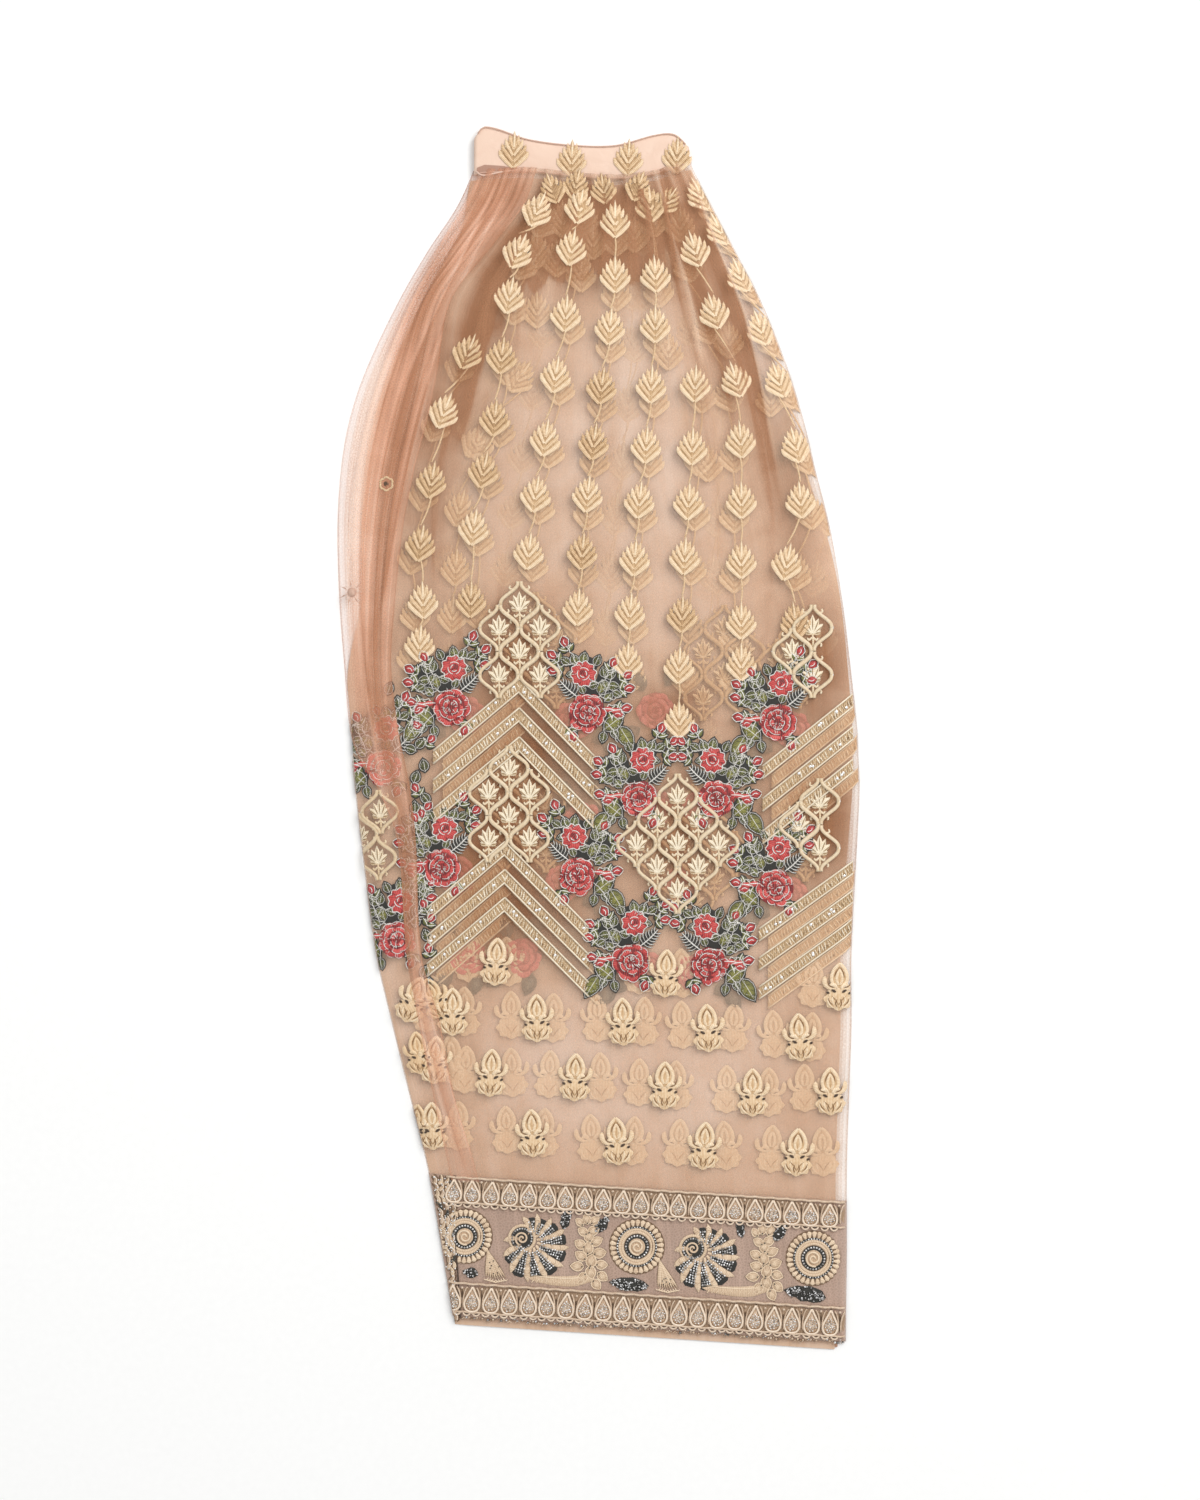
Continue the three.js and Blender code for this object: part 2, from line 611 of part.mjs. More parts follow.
function waistband() {
  const path = bandPath();
  const count = path.length;
  const { levels } = BAND;
  const positions = [];
  for (const side of [1, -1]) {
    for (let level = 0; level <= levels; level += 1) {
      path.forEach((point, i) => {
        const before = path[(i + count - 1) % count];
        const after = path[(i + 1) % count];
        const along = after.clone().sub(before).normalize();
        const x = point.x - (along.y * side * BAND.wall) / 2;
        const z = point.y + (along.x * side * BAND.wall) / 2;
        const y = THREE.MathUtils.lerp(bandEdge('low', x), bandEdge('high', x), level / levels);
        positions.push(x, y, z);
      });
    }
  }
  const at = (side, level, i) => (side * (levels + 1) + level) * count + (i % count);
  const index = [];
  const quad = (a, b, c, d) => index.push(a, b, c, a, c, d);
  for (let i = 0; i < count; i += 1) {
    for (let level = 0; level < levels; level += 1) {
      quad(at(0, level, i), at(0, level, i + 1), at(0, level + 1, i + 1), at(0, level + 1, i));
      quad(at(1, level, i), at(1, level + 1, i), at(1, level + 1, i + 1), at(1, level, i + 1));
    }
    quad(at(0, 0, i), at(1, 0, i), at(1, 0, i + 1), at(0, 0, i + 1));
    quad(at(0, levels, i), at(0, levels, i + 1), at(1, levels, i + 1), at(1, levels, i));
  }
  const bandTop = () => 3 * (BAND.wall + BAND.gap) + BAND.wall;
  const leaves = [];
  for (let i = 0; i < BAND_LEAVES.count; i += 1) {
    const rightmost = BAND.right - BAND_LEAVES.foldInset;
    const x = Math.min(BAND_LEAVES.start + i * BAND_LEAVES.pitch, rightmost);
    const y = (bandEdge('low', x) + bandEdge('high', x)) / 2;
    leaves.push(solid(plate({
      contour: placed(mirrored(LEAF_HALF), x, y, 0, BAND_LEAVES.size),
      surface: bandTop, from: -THREAD_ROOT, to: THREAD_RELIEF,
    })));
  }
  return geometryOf(joined([solid(shape(positions, index)), ...leaves]));
}

// The gusset's own edge, which the raised work on the leg is cut back from
function gussetOutline() {
  const right = [];
  const left = [];
  for (let j = 0; j <= GUSSET_GRID.rows; j += 1) {
    left.push(gussetPlace(0, j / GUSSET_GRID.rows));
    right.push(gussetPlace(1, j / GUSSET_GRID.rows));
  }
  return [...left, ...right.reverse()];
}

// A bouquet is a spray of stems and leaves with a large and a small rose on it
function bouquetOutline({ x, y, lean }) {
  const points = SPRAY.map(([across, up]) => new THREE.Vector2(across * lean, up));
  return onTheFlat(placed(lean > 0 ? points : points.reverse(), x, y));
}

function roseOutline({ x, y }) {
  return onTheFlat(roundOutline(x, y, ROSE.radius, ROSE.sides));
}

function smallRoseOutline({ x, y, lean }) {
  const { radius, sides } = SMALL_ROSE;
  return onTheFlat(roundOutline(x + SMALL_ROSE.x * lean, y + SMALL_ROSE.y, radius, sides));
}

function bouquet(row) {
  const from = LAYER_GAP;
  const spray = plate({
    contour: bouquetOutline(row), surface: legTop, from, to: from + SPRAY_RELIEF,
  });
  const rose = plate({
    contour: roseOutline(row),
    surface: legTop, from, to: from + ROSE_RELIEF, narrowing: ROSE.narrowing,
  });
  const small = plate({
    contour: smallRoseOutline(row),
    surface: legTop, from, to: from + ROSE_RELIEF, narrowing: SMALL_ROSE.narrowing,
  });
  return joined([solid(spray), solid(rose), solid(small)]);
}

// One bent strip: its upper line, from the left end over the apex to the right end
function stripLine(set, number) {
  const apexY = set.y + number * set.pitch;
  const apex = new THREE.Vector2(Math.min(set.x, edge('right', apexY) - FOLD_INSET), apexY);
  const arm = (run, drop) => {
    const points = [];
    for (let i = 1; i <= STRIP_STEPS; i += 1) {
      const s = Math.pow(i / STRIP_STEPS, STRIP_CROWDING);
      points.push(new THREE.Vector2(apex.x + run * s, apex.y - drop * s));
    }
    return points;
  };
  const left = arm(-set.leftRun, set.leftDrop);
  const right = set.rightRun > 0 ? arm(set.rightRun, set.rightDrop) : [];
  return [...left.reverse(), apex, ...right];
}

function stripOutline(set, number) {
  const upper = stripLine(set, number);
  const lower = upper.map((point) => new THREE.Vector2(point.x, point.y - STRIP_DROP));
  return [...lower, ...upper.reverse()];
}

function stripPanel(set, number) {
  const line = stripLine(set, number);
  const steps = line.length - 1;
  return wall(steps, 1, (across, down) => {
    const point = line[Math.round(across * steps)];
    const y = point.y - down * STRIP_DROP;
    const foot = legTop(point.x, y) + LAYER_GAP;
    return { x: point.x, y, top: foot + STRIP_RELIEF, foot };
  });
}

// The opening of one cell: an ogee with a sprig that grows up from its foot
function cellOpening(x, y) {
  const { halfWidth, halfHeight, bar } = CELL;
  const half = [
    [0, halfHeight - 1.6 * bar],
    [halfWidth * 0.45 - bar / 2, halfHeight * 0.52],
    [halfWidth - bar, 0],
    [halfWidth * 0.5 - bar / 2, -halfHeight * 0.5],
    ...SPRIG_HALF,
  ];
  return placed(mirrored(half), x, y).reverse();
}

// The outer edge runs from the top down the right side, along the foot and up the left side
function latticeOutline({ x, y, rows }) {
  const { halfWidth, halfHeight } = CELL;
  const node = (across, down) => new THREE.Vector2(x + across * halfWidth, y - down * halfHeight);
  const last = rows.length - 1;
  const foot = [];
  for (const cell of [...rows[last]].reverse()) {
    foot.push(node(cell, last + 1), node(cell - 1, last));
  }
  foot.pop();
  const right = rows.map((cells, row) => node(Math.max(...cells) + 1, row));
  const left = rows.map((cells, row) => node(Math.min(...cells) - 1, row));
  return [node(0, -1), ...right, ...foot, ...left.reverse()].reverse();
}

function lattice(row) {
  const { halfWidth, halfHeight } = CELL;
  const { x, y, rows } = row;
  const contour = latticeOutline(row);
  const holes = rows.flatMap((cells, down) => (
    cells.map((cell) => cellOpening(x + cell * halfWidth, y - down * halfHeight))
  ));
  const from = LAYER_GAP;
  return solid(plate({ contour, holes, surface: legTop, from, to: from + LATTICE_RELIEF }));
}

// One motif of the border, raised on the panel and joined with it
function borderMotif({ kind, x, lift }) {
  const y = hemLine(BORDER_MIDDLE, x) + lift;
  const raise = (contour, height, narrowing = 1) => solid(plate({
    contour, surface: borderTop, from: -THREAD_ROOT, to: height, narrowing,
  }));
  if (kind === 'disc') {
    const rim = onTheFlat(roundOutline(x, y, DISC.radius, DISC.sides), FOLD_INSET);
    const hub = roundOutline(x, y, DISC.hubRadius, DISC.hubSides);
    return [raise(rim, THREAD_RELIEF, DISC.narrowing), raise(hub, 2 * THREAD_RELIEF)];
  }
  if (kind === 'palmette') {
    const points = [];
    for (let i = 0; i < 2 * PALMETTE.lobes; i += 1) {
      const radius = PALMETTE.radius * (i % 2 ? PALMETTE.waist : 1);
      const angle = (Math.PI * i) / PALMETTE.lobes;
      points.push(new THREE.Vector2(radius * Math.cos(angle), radius * Math.sin(angle)));
    }
    return [raise(placed(points, x, y), THREAD_RELIEF)];
  }
  const half = kind === 'tree' ? TREE_HALF : TUFT_HALF;
  return [raise(placed(mirrored(half), x, y), THREAD_RELIEF)];
}

// The finished garment
const group = new THREE.Group();

function addNode(name, geometry, colour, roughness, metalness = 0) {
  const material = new THREE.MeshStandardMaterial({ color: colour, roughness, metalness });
  const mesh = new THREE.Mesh(geometry, material);
  mesh.name = name;
  group.add(mesh);
}

const obstacles = [keepClear(gussetOutline())];

BOUQUETS.forEach((row, i) => {
  const body = largestPiece(cutBack(bouquet(row), obstacles));
  obstacles.push(keepClear(bouquetOutline(row)));
  obstacles.push(keepClear(roseOutline(row)));
  obstacles.push(keepClear(smallRoseOutline(row)));
  addNode(`bouquet_${i + 1}`, geometryOf(body), COLOURS.rose, 0.8);
});

STRIP_SETS.forEach((set, s) => {
  for (let i = 0; i < STRIPS_IN_SET; i += 1) {
    const strip = solid(stripPanel(set, i));
    const name = `gota_strip_${s * STRIPS_IN_SET + i + 1}`;
    addNode(name, geometryOf(largestPiece(cutBack(strip, obstacles))), COLOURS.strip, 0.4, 0.5);
  }
});
for (const set of STRIP_SETS) {
  for (let i = 0; i < STRIPS_IN_SET; i += 1) {
    obstacles.push(keepClear(stripOutline(set, i)));
  }
}

for (const row of LATTICES) {
  const body = largestPiece(cutBack(lattice(row), obstacles));
  addNode(row.name, geometryOf(body), COLOURS.gold, 0.7, 0.1);
  obstacles.push(keepClear(latticeOutline(row)));
}

const worked = [solid(legPanel())];
for (const string of LEAF_STRINGS) {
  for (const { x, y, turn } of leafPlaces(string)) {
    const leaf = solid(plate({
      contour: placed(mirrored(LEAF_HALF), x, y, turn),
      surface: legTop, from: -THREAD_ROOT, to: THREAD_RELIEF,
    }));
    worked.push(cutBack(leaf, obstacles));
  }
}
for (const row of BUD_ROWS) {
  for (let i = 0; i < row.buds; i += 1) {
    const x = row.x + i * row.step;
    const contour = placed(mirrored(BUD_HALF), x, row.y + BUD_DROP * i * row.step);
    for (const point of contour) {
      point.x = Math.min(point.x, edge('right', point.y) - EDGE_CLEARANCE);
    }
    const bud = solid(plate({
      contour, surface: legTop, from: -THREAD_ROOT, to: THREAD_RELIEF,
    }));
    worked.push(cutBack(bud, obstacles));
  }
}
addNode('near_leg', geometryOf(largestPiece(joined(worked))), COLOURS.net, 0.8);
addNode('crotch_panel', gussetPanel(), COLOURS.gusset, 0.8);
addNode('under_layers', hiddenLayers(), COLOURS.hidden, 0.9);
addNode('waistband', waistband(), COLOURS.satin, 0.5);

const border = [solid(borderPanel()), ...BORDER_MOTIFS.flatMap(borderMotif)];
addNode('hem_border', geometryOf(largestPiece(joined(border))), COLOURS.border, 0.8);
addNode('hem_trim_upper', trimPanel(UPPER_TRIM), COLOURS.trim, 0.5, 0.3);
addNode('hem_trim_lower', trimPanel(LOWER_TRIM), COLOURS.trim, 0.5, 0.3);
addNode('far_hem', farHemPanel(), COLOURS.border, 0.8);

export default group;
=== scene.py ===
"""Looks of a farshi shalwar in embroidered net, folded leg on leg and laid flat.

Sizes are in millimetres in the part's own frame: x across, y up to the waistband and
z up from the floor. They turn to metres where a mesh is made.
"""

import logging
import math
import random
from collections.abc import Callable, Sequence
from dataclasses import dataclass, field
from enum import Enum

import bpy
import numpy as np
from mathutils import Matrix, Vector

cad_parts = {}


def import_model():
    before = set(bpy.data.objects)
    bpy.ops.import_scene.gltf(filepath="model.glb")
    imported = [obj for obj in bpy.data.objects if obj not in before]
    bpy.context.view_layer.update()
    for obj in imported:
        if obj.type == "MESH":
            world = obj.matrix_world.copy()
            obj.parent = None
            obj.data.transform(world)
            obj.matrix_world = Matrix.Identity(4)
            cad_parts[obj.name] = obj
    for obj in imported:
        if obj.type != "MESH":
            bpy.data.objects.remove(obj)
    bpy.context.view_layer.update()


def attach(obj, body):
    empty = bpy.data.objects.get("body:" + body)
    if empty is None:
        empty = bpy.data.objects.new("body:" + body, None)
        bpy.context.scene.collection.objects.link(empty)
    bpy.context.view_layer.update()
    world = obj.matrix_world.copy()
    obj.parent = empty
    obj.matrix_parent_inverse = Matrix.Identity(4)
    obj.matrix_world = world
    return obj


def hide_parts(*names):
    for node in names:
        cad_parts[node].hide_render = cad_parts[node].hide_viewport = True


MM = 0.001
log = logging.getLogger("shalwar")

Line = Sequence[tuple[float, float]]
Row = tuple[float, ...]
Bound = Callable[[np.ndarray], np.ndarray]
Surface = Callable[[np.ndarray, np.ndarray], np.ndarray]


class Ends(Enum):
    """How the width of a stitched stroke runs along it."""

    POINTED = "pointed at both ends"
    LEAF = "blunt at its foot and pointed at its tip"
    EVEN = "the same width all along, with round ends"
    CLUB = "narrow at its foot and round at its tip"


POINTED, LEAF, EVEN, CLUB = Ends


def linear(colour: str) -> tuple[float, float, float, float]:
    """Turns an sRGB hex colour into a linear one with alpha 1."""
    parts = [int(colour[i : i + 2], 16) / 255 for i in (1, 3, 5)]
    return (*[c / 12.92 if c <= 0.04045 else ((c + 0.055) / 1.055) ** 2.4 for c in parts], 1.0)


def begin(name: str) -> tuple[bpy.types.Material, bpy.types.NodeTree]:
    """Starts a material with an empty node tree."""
    made = bpy.data.materials.new(name)
    made.use_nodes = True
    made.node_tree.nodes.clear()
    return made, made.node_tree


def add(tree: bpy.types.NodeTree, kind: str, inputs: dict | None = None,
        ramp: Sequence[tuple[float, str]] = (), **settings: object) -> bpy.types.Node:
    """Adds a node with its settings and links.

    Args:
        tree: The material's node tree.
        kind: Blender's name for the node, without its first part.
        inputs: A value, a node for its first output, or another output, for each input.
        ramp: Places and sRGB colours of the stops, for a colour ramp.
        settings: Properties of the node itself.

    Returns:
        The new node.
    """
    node = tree.nodes.new("ShaderNode" + kind)
    for name, value in settings.items():
        setattr(node, name, value)
    for name, value in (inputs or {}).items():
        if isinstance(value, bpy.types.Node):
            value = value.outputs[0]
        if isinstance(value, bpy.types.NodeSocket):
            tree.links.new(value, node.inputs[name])
        else:
            node.inputs[name].default_value = value
    if ramp:
        stops = node.color_ramp.elements
        while len(stops) < len(ramp):
            stops.new(0.5)
        for stop, (place, colour) in zip(stops, ramp):
            stop.position = place
            stop.color = linear(colour)
    return node


WAVE_UNIT = 0.314
"""A wave texture of scale 1 repeats after this many units."""


@dataclass(frozen=True)
class Thread:
    """Viscose embroidery floss laid side by side in satin stitch.

    The eye sees a soft sheen, fine lines across each stroke and darker gaps between
    strokes. The lines are painted: lighter threads with painted shade in the grooves
    between them, in the same pattern as the bump. The real threads are 0.4 mm apart,
    which is too fine to show, so they are drawn at the spacing given here.
    """

    name: str
    shadow: str
    body: str
    light: str
    spacing: float = 1.3
    roughness: float = 0.55
    metallic: float = 0.0
    sheen: float = 0.25
    relief: float = 0.35

    def material(self) -> bpy.types.Material:
        """Makes the material."""
        made, tree = begin(self.name)
        tone = add(tree, "Attribute", attribute_name="tone")
        thread = add(tree, "UVMap", uv_map="thread")
        lines = add(tree, "TexWave", {"Vector": thread, "Scale": WAVE_UNIT / self.spacing,
            "Distortion": 1.2, "Detail": 1.0, "Detail Scale": 2.0})
        place = add(tree, "TexCoord")
        mottle = add(tree, "TexNoise", {"Vector": place.outputs["Object"], "Scale": 420.0,
            "Detail": 2.0})
        # Painted shade in the grooves between threads: the wave lines darken the colour where the
        # bump is low.
        lined = add(tree, "Math", {0: lines.outputs["Fac"], 1: 0.34, 2: tone.outputs["Fac"]},
            operation="MULTIPLY_ADD")
        mottled = add(tree, "Math", {0: mottle, 1: 0.5, 2: lined}, operation="MULTIPLY_ADD")
        level = add(tree, "Math", {0: mottled, 1: 0.42}, operation="SUBTRACT")
        colour = add(tree, "ValToRGB", {"Fac": level}, ramp=((0.0, self.shadow), (0.5, self.body),
            (1.0, self.light)))
        bump = add(tree, "Bump", {"Height": mottled, "Strength": self.relief, "Distance": 0.6 * MM})
        shader = add(tree, "BsdfPrincipled", {"Base Color": colour, "Normal": bump,
            "Roughness": self.roughness, "Metallic": self.metallic, "Sheen Weight": self.sheen})
        add(tree, "OutputMaterial", {"Surface": shader})
        return made


@dataclass(frozen=True)
class Net:
    """Soft nylon net with hexagonal holes, knitted 1.2 mm apart.

    The eye sees the layers below through it, a fine grain where the holes are too small
    to make out, and darker streaks where a fold doubles it. The holes are drawn 2.6 mm
    apart so that they show. The two attributes of the cloth say how deep its colour is,
    painted shade and painted light of folds and gathers included, and how much it covers
    at each place.
    """

    name: str
    pale: str
    body: str
    deep: str
    streak: float = 0.35
    cloud: float = 0.3
    hole: float = 2.6
    roughness: float = 0.75
    see_through: bool = True

    def material(self) -> bpy.types.Material:
        """Makes the material."""
        made, tree = begin(self.name)
        tone = add(tree, "Attribute", attribute_name="tone")
        cover = add(tree, "Attribute", attribute_name="cover")
        cloth = add(tree, "UVMap", uv_map="thread")
        place = add(tree, "TexCoord")
        along = add(tree, "Mapping", {"Vector": cloth, "Scale": (0.16, 0.006, 1.0)})
        streaks = add(tree, "TexNoise", {"Vector": along, "Scale": 1.0, "Detail": 2.0,
            "Roughness": 0.6}, noise_dimensions="2D")
        clouds = add(tree, "TexNoise", {"Vector": place.outputs["Object"], "Scale": 28.0,
            "Detail": 2.0, "Distortion": 0.6}, noise_dimensions="2D")
        holes = add(tree, "TexVoronoi", {"Vector": place.outputs["Object"],
            "Scale": 1 / (self.hole * MM)}, feature="DISTANCE_TO_EDGE", voronoi_dimensions="2D")
        mixed = add(tree, "Math", {0: streaks, 1: self.streak, 2: tone.outputs["Fac"]},
            operation="MULTIPLY_ADD")
        clouded = add(tree, "Math", {0: clouds, 1: self.cloud, 2: mixed}, operation="MULTIPLY_ADD")
        middle = 0.5 * (self.streak + self.cloud)
        level = add(tree, "Math", {0: clouded, 1: middle}, operation="SUBTRACT")
        colour = add(tree, "ValToRGB", {"Fac": level}, ramp=((0.0, self.pale), (0.5, self.body),
            (1.0, self.deep)))
        grain = add(tree, "MapRange", {"Value": holes.outputs["Distance"], "From Min": 0.0,
            "From Max": 0.3, "To Min": 1.18, "To Max": 0.86})
        doubled = add(tree, "MapRange", {"Value": streaks, "From Min": 0.35, "From Max": 0.7,
            "To Min": 0.85, "To Max": 1.25})
        fold = add(tree, "Math", {0: grain, 1: doubled}, operation="MULTIPLY")
        alpha = add(tree, "Math", {0: cover.outputs["Fac"], 1: fold}, operation="MULTIPLY",
            use_clamp=True)
        seen = {"Alpha": alpha} if self.see_through else {}
        shader = add(tree, "BsdfPrincipled", {"Base Color": colour, "Roughness": self.roughness,
            **seen})
        add(tree, "OutputMaterial", {"Surface": shader})
        return made


@dataclass(frozen=True)
class Satin:
    """Polyester satin, woven with long floats: pale, with a soft sheen along the band."""

    name: str = "waist_satin"
    body: str = "#e9cdb9"
    deep: str = "#cfa78e"

    def material(self) -> bpy.types.Material:
        """Makes the material."""
        made, tree = begin(self.name)
        tone = add(tree, "Attribute", attribute_name="tone")
        place = add(tree, "TexCoord")
        crush = add(tree, "TexNoise", {"Vector": place.outputs["Object"], "Scale": 55.0,
            "Detail": 3.0, "Distortion": 0.8})
        weave = add(tree, "TexNoise", {"Vector": place.outputs["Object"], "Scale": 900.0,
            "Detail": 1.0})
        level = add(tree, "Math", {0: crush, 1: 0.45, 2: tone.outputs["Fac"]},
            operation="MULTIPLY_ADD")
        colour = add(tree, "ValToRGB", {"Fac": level}, ramp=((0.1, self.body), (1.0, self.deep)))
        creased = add(tree, "Bump", {"Height": crush, "Strength": 0.35, "Distance": 2 * MM})
        bump = add(tree, "Bump", {"Height": weave, "Normal": creased, "Strength": 0.25,
            "Distance": 0.3 * MM})
        shader = add(tree, "BsdfPrincipled", {"Base Color": colour, "Normal": bump,
            "Roughness": 0.42, "Sheen Weight": 0.2, "Specular IOR Level": 0.5})
        add(tree, "OutputMaterial", {"Surface": shader})
        return made


@dataclass(frozen=True)
class Paper:
    """Matt white paper with a faint tooth, which the garment lies on."""

    name: str = "studio_paper"

    def material(self) -> bpy.types.Material:
        """Makes the material."""
        made, tree = begin(self.name)
        place = add(tree, "TexCoord")
        tooth = add(tree, "TexNoise", {"Vector": place.outputs["Object"], "Scale": 160.0})
        colour = add(tree, "ValToRGB", {"Fac": tooth}, ramp=((0.0, "#f4f4f3"), (1.0, "#f8f8f7")))
        shader = add(tree, "BsdfPrincipled", {"Base Color": colour, "Roughness": 0.9,
            "Specular IOR Level": 0.2})
        add(tree, "OutputMaterial", {"Surface": shader})
        return made


Finish = Thread | Net | Satin | Paper

GOLD = Thread("gold_floss", "#7a5226", "#d2ac7e", "#f7e4c6", relief=0.6)
DULL_GOLD = Thread("gold_floss_under_net", "#7d582f", "#c49a6b", "#ebcfa8", relief=0.15)
FAINT_GOLD = Thread("gold_floss_far_below", "#97704a", "#c9a27a", "#e2c4a0", relief=0.1)
CORD = Thread("couched_gold_cord", "#8e6a3c", "#d3b68d", "#efe3ca", spacing=1.5, roughness=0.45)
TINSEL = Thread("woven_tinsel_ribbon", "#745533", "#c7a880", "#f1e6d0", spacing=1.8, roughness=0.35,
    metallic=0.1, sheen=0.0)
SEQUIN = Thread("mirror_sequin", "#dcd6cc", "#f4f1ea", "#ffffff", roughness=0.18, metallic=0.5,
    sheen=0.0)
ROSE = Thread("rose_floss", "#4f1014", "#c6403d", "#e8857c", spacing=1.6)
SAGE = Thread("sage_floss", "#26280f", "#74753c", "#b5b278", spacing=1.4)
OLIVE = Thread("olive_floss", "#3f3d17", "#88853f", "#c2bd78", spacing=1.4)
CHARCOAL = Thread("charcoal_floss", "#16140e", "#2b2922", "#524e43", spacing=1.5)
# Dark brown for painted shade: holes in the buds, round and between the hem's drops, along the
# border's turned fold and in the knot's middle.
SHADE_BROWN = Thread("painted_shade_brown", "#2e1e10", "#4a3420", "#6b5033")
SILVER = Thread("silver_purl", "#6f6c68", "#dedad2", "#ffffff", spacing=1.7, roughness=0.35,
    metallic=0.1, sheen=0.0)
BEIGE = Thread("beige_floss", "#977a5f", "#cfb394", "#ecd6b9", spacing=1.5)
ANTIQUE = Thread("antique_cord", "#5f452e", "#b7987a", "#f3e0ca", spacing=1.3, roughness=0.4,
    metallic=0.1, sheen=0.0)
STEEL_BEAD = Thread("steel_bead", "#2c2a2a", "#9a9794", "#ffffff", spacing=1.2, roughness=0.25,
    metallic=0.5, sheen=0.0)
PIPING = Thread("satin_piping", "#a8806c", "#cba48f", "#e4c6b4", relief=0.2)
PALE_ROSE = Thread("rose_floss_under_net", "#96443b", "#cf7062", "#e09c8a", relief=0.15)
PALE_SAGE = Thread("sage_floss_under_net", "#6a5a48", "#84745d", "#9b8b72", relief=0.15)

LEG_NET = Net("pale_nylon_net", "#e7d2c2", "#d3b398", "#a4724f")
GUSSET_NET = Net("salmon_nylon_net", "#f0cfba", "#d8a487", "#b27a59", streak=0.9, cloud=0.25)
HIDDEN_NET = Net("net_of_the_hidden_layers", "#e4cebd", "#ceab8f", "#966644")
LOWEST_NET = Net("net_of_the_lowest_layer", "#e5d0bf", "#d0ae92", "#966644", see_through=False)
BORDER_NET = Net("net_behind_the_border", "#d8bfb0", "#c4a795", "#a5836e", streak=0.2)
SATIN = Satin()

STATION_COLUMNS = ("y", "left", "right", "leg", "gusset_left", "gusset_right", "crown")
STATIONS = np.array(((-524, -122, 213, -122, -103, -76, 3.5), (-443, -135, 214, -135, -115, -90,
    4.5), (-375, -147, 214, -147, -128, -105, 5), (-310, -163, 216, -163, -142, -124, 6),
    (-249, -178, 218, -178, -154, -136, 6.5), (-188, -192, 218, -192, -165, -152, 7),
    (-90, -205, 223, -205, -173, -157, 7.5), (-45, -210, 225, -210, -190, -162, 8),
    (-20, -212, 224, -212, -206, -167, 8), (5, -214, 223, -206, -214, -172, 8),
    (60, -219, 217, -194, -219, -178, 8.5), (110, -223, 211, -187, -223, -175, 9),
    (176, -225, 200, -180, -225, -168, 10), (228, -222, 187, -170, -222, -158, 11),
    (270, -215, 177, -159, -215, -147, 11.5), (313, -201, 164, -150, -201, -138, 12),
    (374, -172, 140, -138, -172, -126, 12.5), (417, -147, 118, -105, -147, -93, 12),
    (455, -122, 98, -76, -122, -64, 9), (490, -106, 80, -64, -106, -52, 4)), float)

BAND_EDGES = np.array(((-107, 482, 514), (-98, 483, 524), (-60, 484, 513), (-20, 480, 508),
    (15, 478, 508), (50, 482, 517), (66, 488, 517), (78, 491, 506)), float)


def reading(table: np.ndarray, column: int, at: np.ndarray) -> np.ndarray:
    """Reads one column of a table on a smooth curve through its rows.

    Args:
        table: Rows in rising order of their first column.
        column: The column to read.
        at: Where to read it, in the first column's units.

    Returns:
        The readings, one for each place.
    """
    keys, values = table[:, 0], table[:, column]
    slopes = np.empty(len(keys))
    slopes[1:-1] = (values[2:] - values[:-2]) / (keys[2:] - keys[:-2])
    slopes[0] = (values[1] - values[0]) / (keys[1] - keys[0])
    slopes[-1] = (values[-1] - values[-2]) / (keys[-1] - keys[-2])
    at = np.asarray(at, float)
    i = np.clip(np.searchsorted(keys, at, "right") - 1, 0, len(keys) - 2)
    span = keys[i + 1] - keys[i]
    s = np.clip((at - keys[i]) / span, 0, 1)
    blend = s * s * (3 - 2 * s)
    leave = s * (1 - s) ** 2 * span * slopes[i]
    arrive = s * s * (s - 1) * span * slopes[i + 1]
    return values[i] + (values[i + 1] - values[i]) * blend + leave + arrive


def smoothstep(value: np.ndarray, low: float, high: float) -> np.ndarray:
    """Rises smoothly from 0 at low to 1 at high."""
    s = np.clip((np.asarray(value, float) - low) / (high - low), 0, 1)
    return s * s * (3 - 2 * s)


def edge(column: str, y: np.ndarray) -> np.ndarray:
    """Reads one edge of the garment, or its crown, at a height up the leg."""
    return reading(STATIONS, STATION_COLUMNS.index(column), y)


HEM_SLOPE = -0.066


def hem_line(middle: float | np.ndarray, x: float | np.ndarray) -> float | np.ndarray:
    """Gives y on a line across the hem that has this y at the middle of the garment."""
    return middle + HEM_SLOPE * x


@dataclass(frozen=True)
class Fold:
    """A gather of the cloth: its place and half width as shares of the panel's width."""

    at: float
    height: float
    width: float
    foot: float


LEG_GATHERS = tuple(Fold(*row) for row in ((0.06, 2.4, 0.03, 215), (0.15, 3.2, 0.035, 160),
    (0.24, 2.0, 0.03, 290), (0.32, 3.4, 0.03, 250), (0.41, 2.2, 0.035, 320), (0.5, 3.6, 0.03, 290),
    (0.59, 2.6, 0.03, 330), (0.67, 3.4, 0.035, 240), (0.76, 2.6, 0.03, 190),
    (0.84, 3.4, 0.035, 150), (0.92, 2.2, 0.03, 170)))
GUSSET_FOLDS = tuple(Fold(*row) for row in ((0.13, 0.8, 0.05, 60), (0.27, 2.2, 0.07, 20),
    (0.42, 1.0, 0.04, 150), (0.52, 2.6, 0.05, 190), (0.66, 1.2, 0.09, 60), (0.8, 3.0, 0.05, -20),
    (0.91, 1.4, 0.04, -40)))
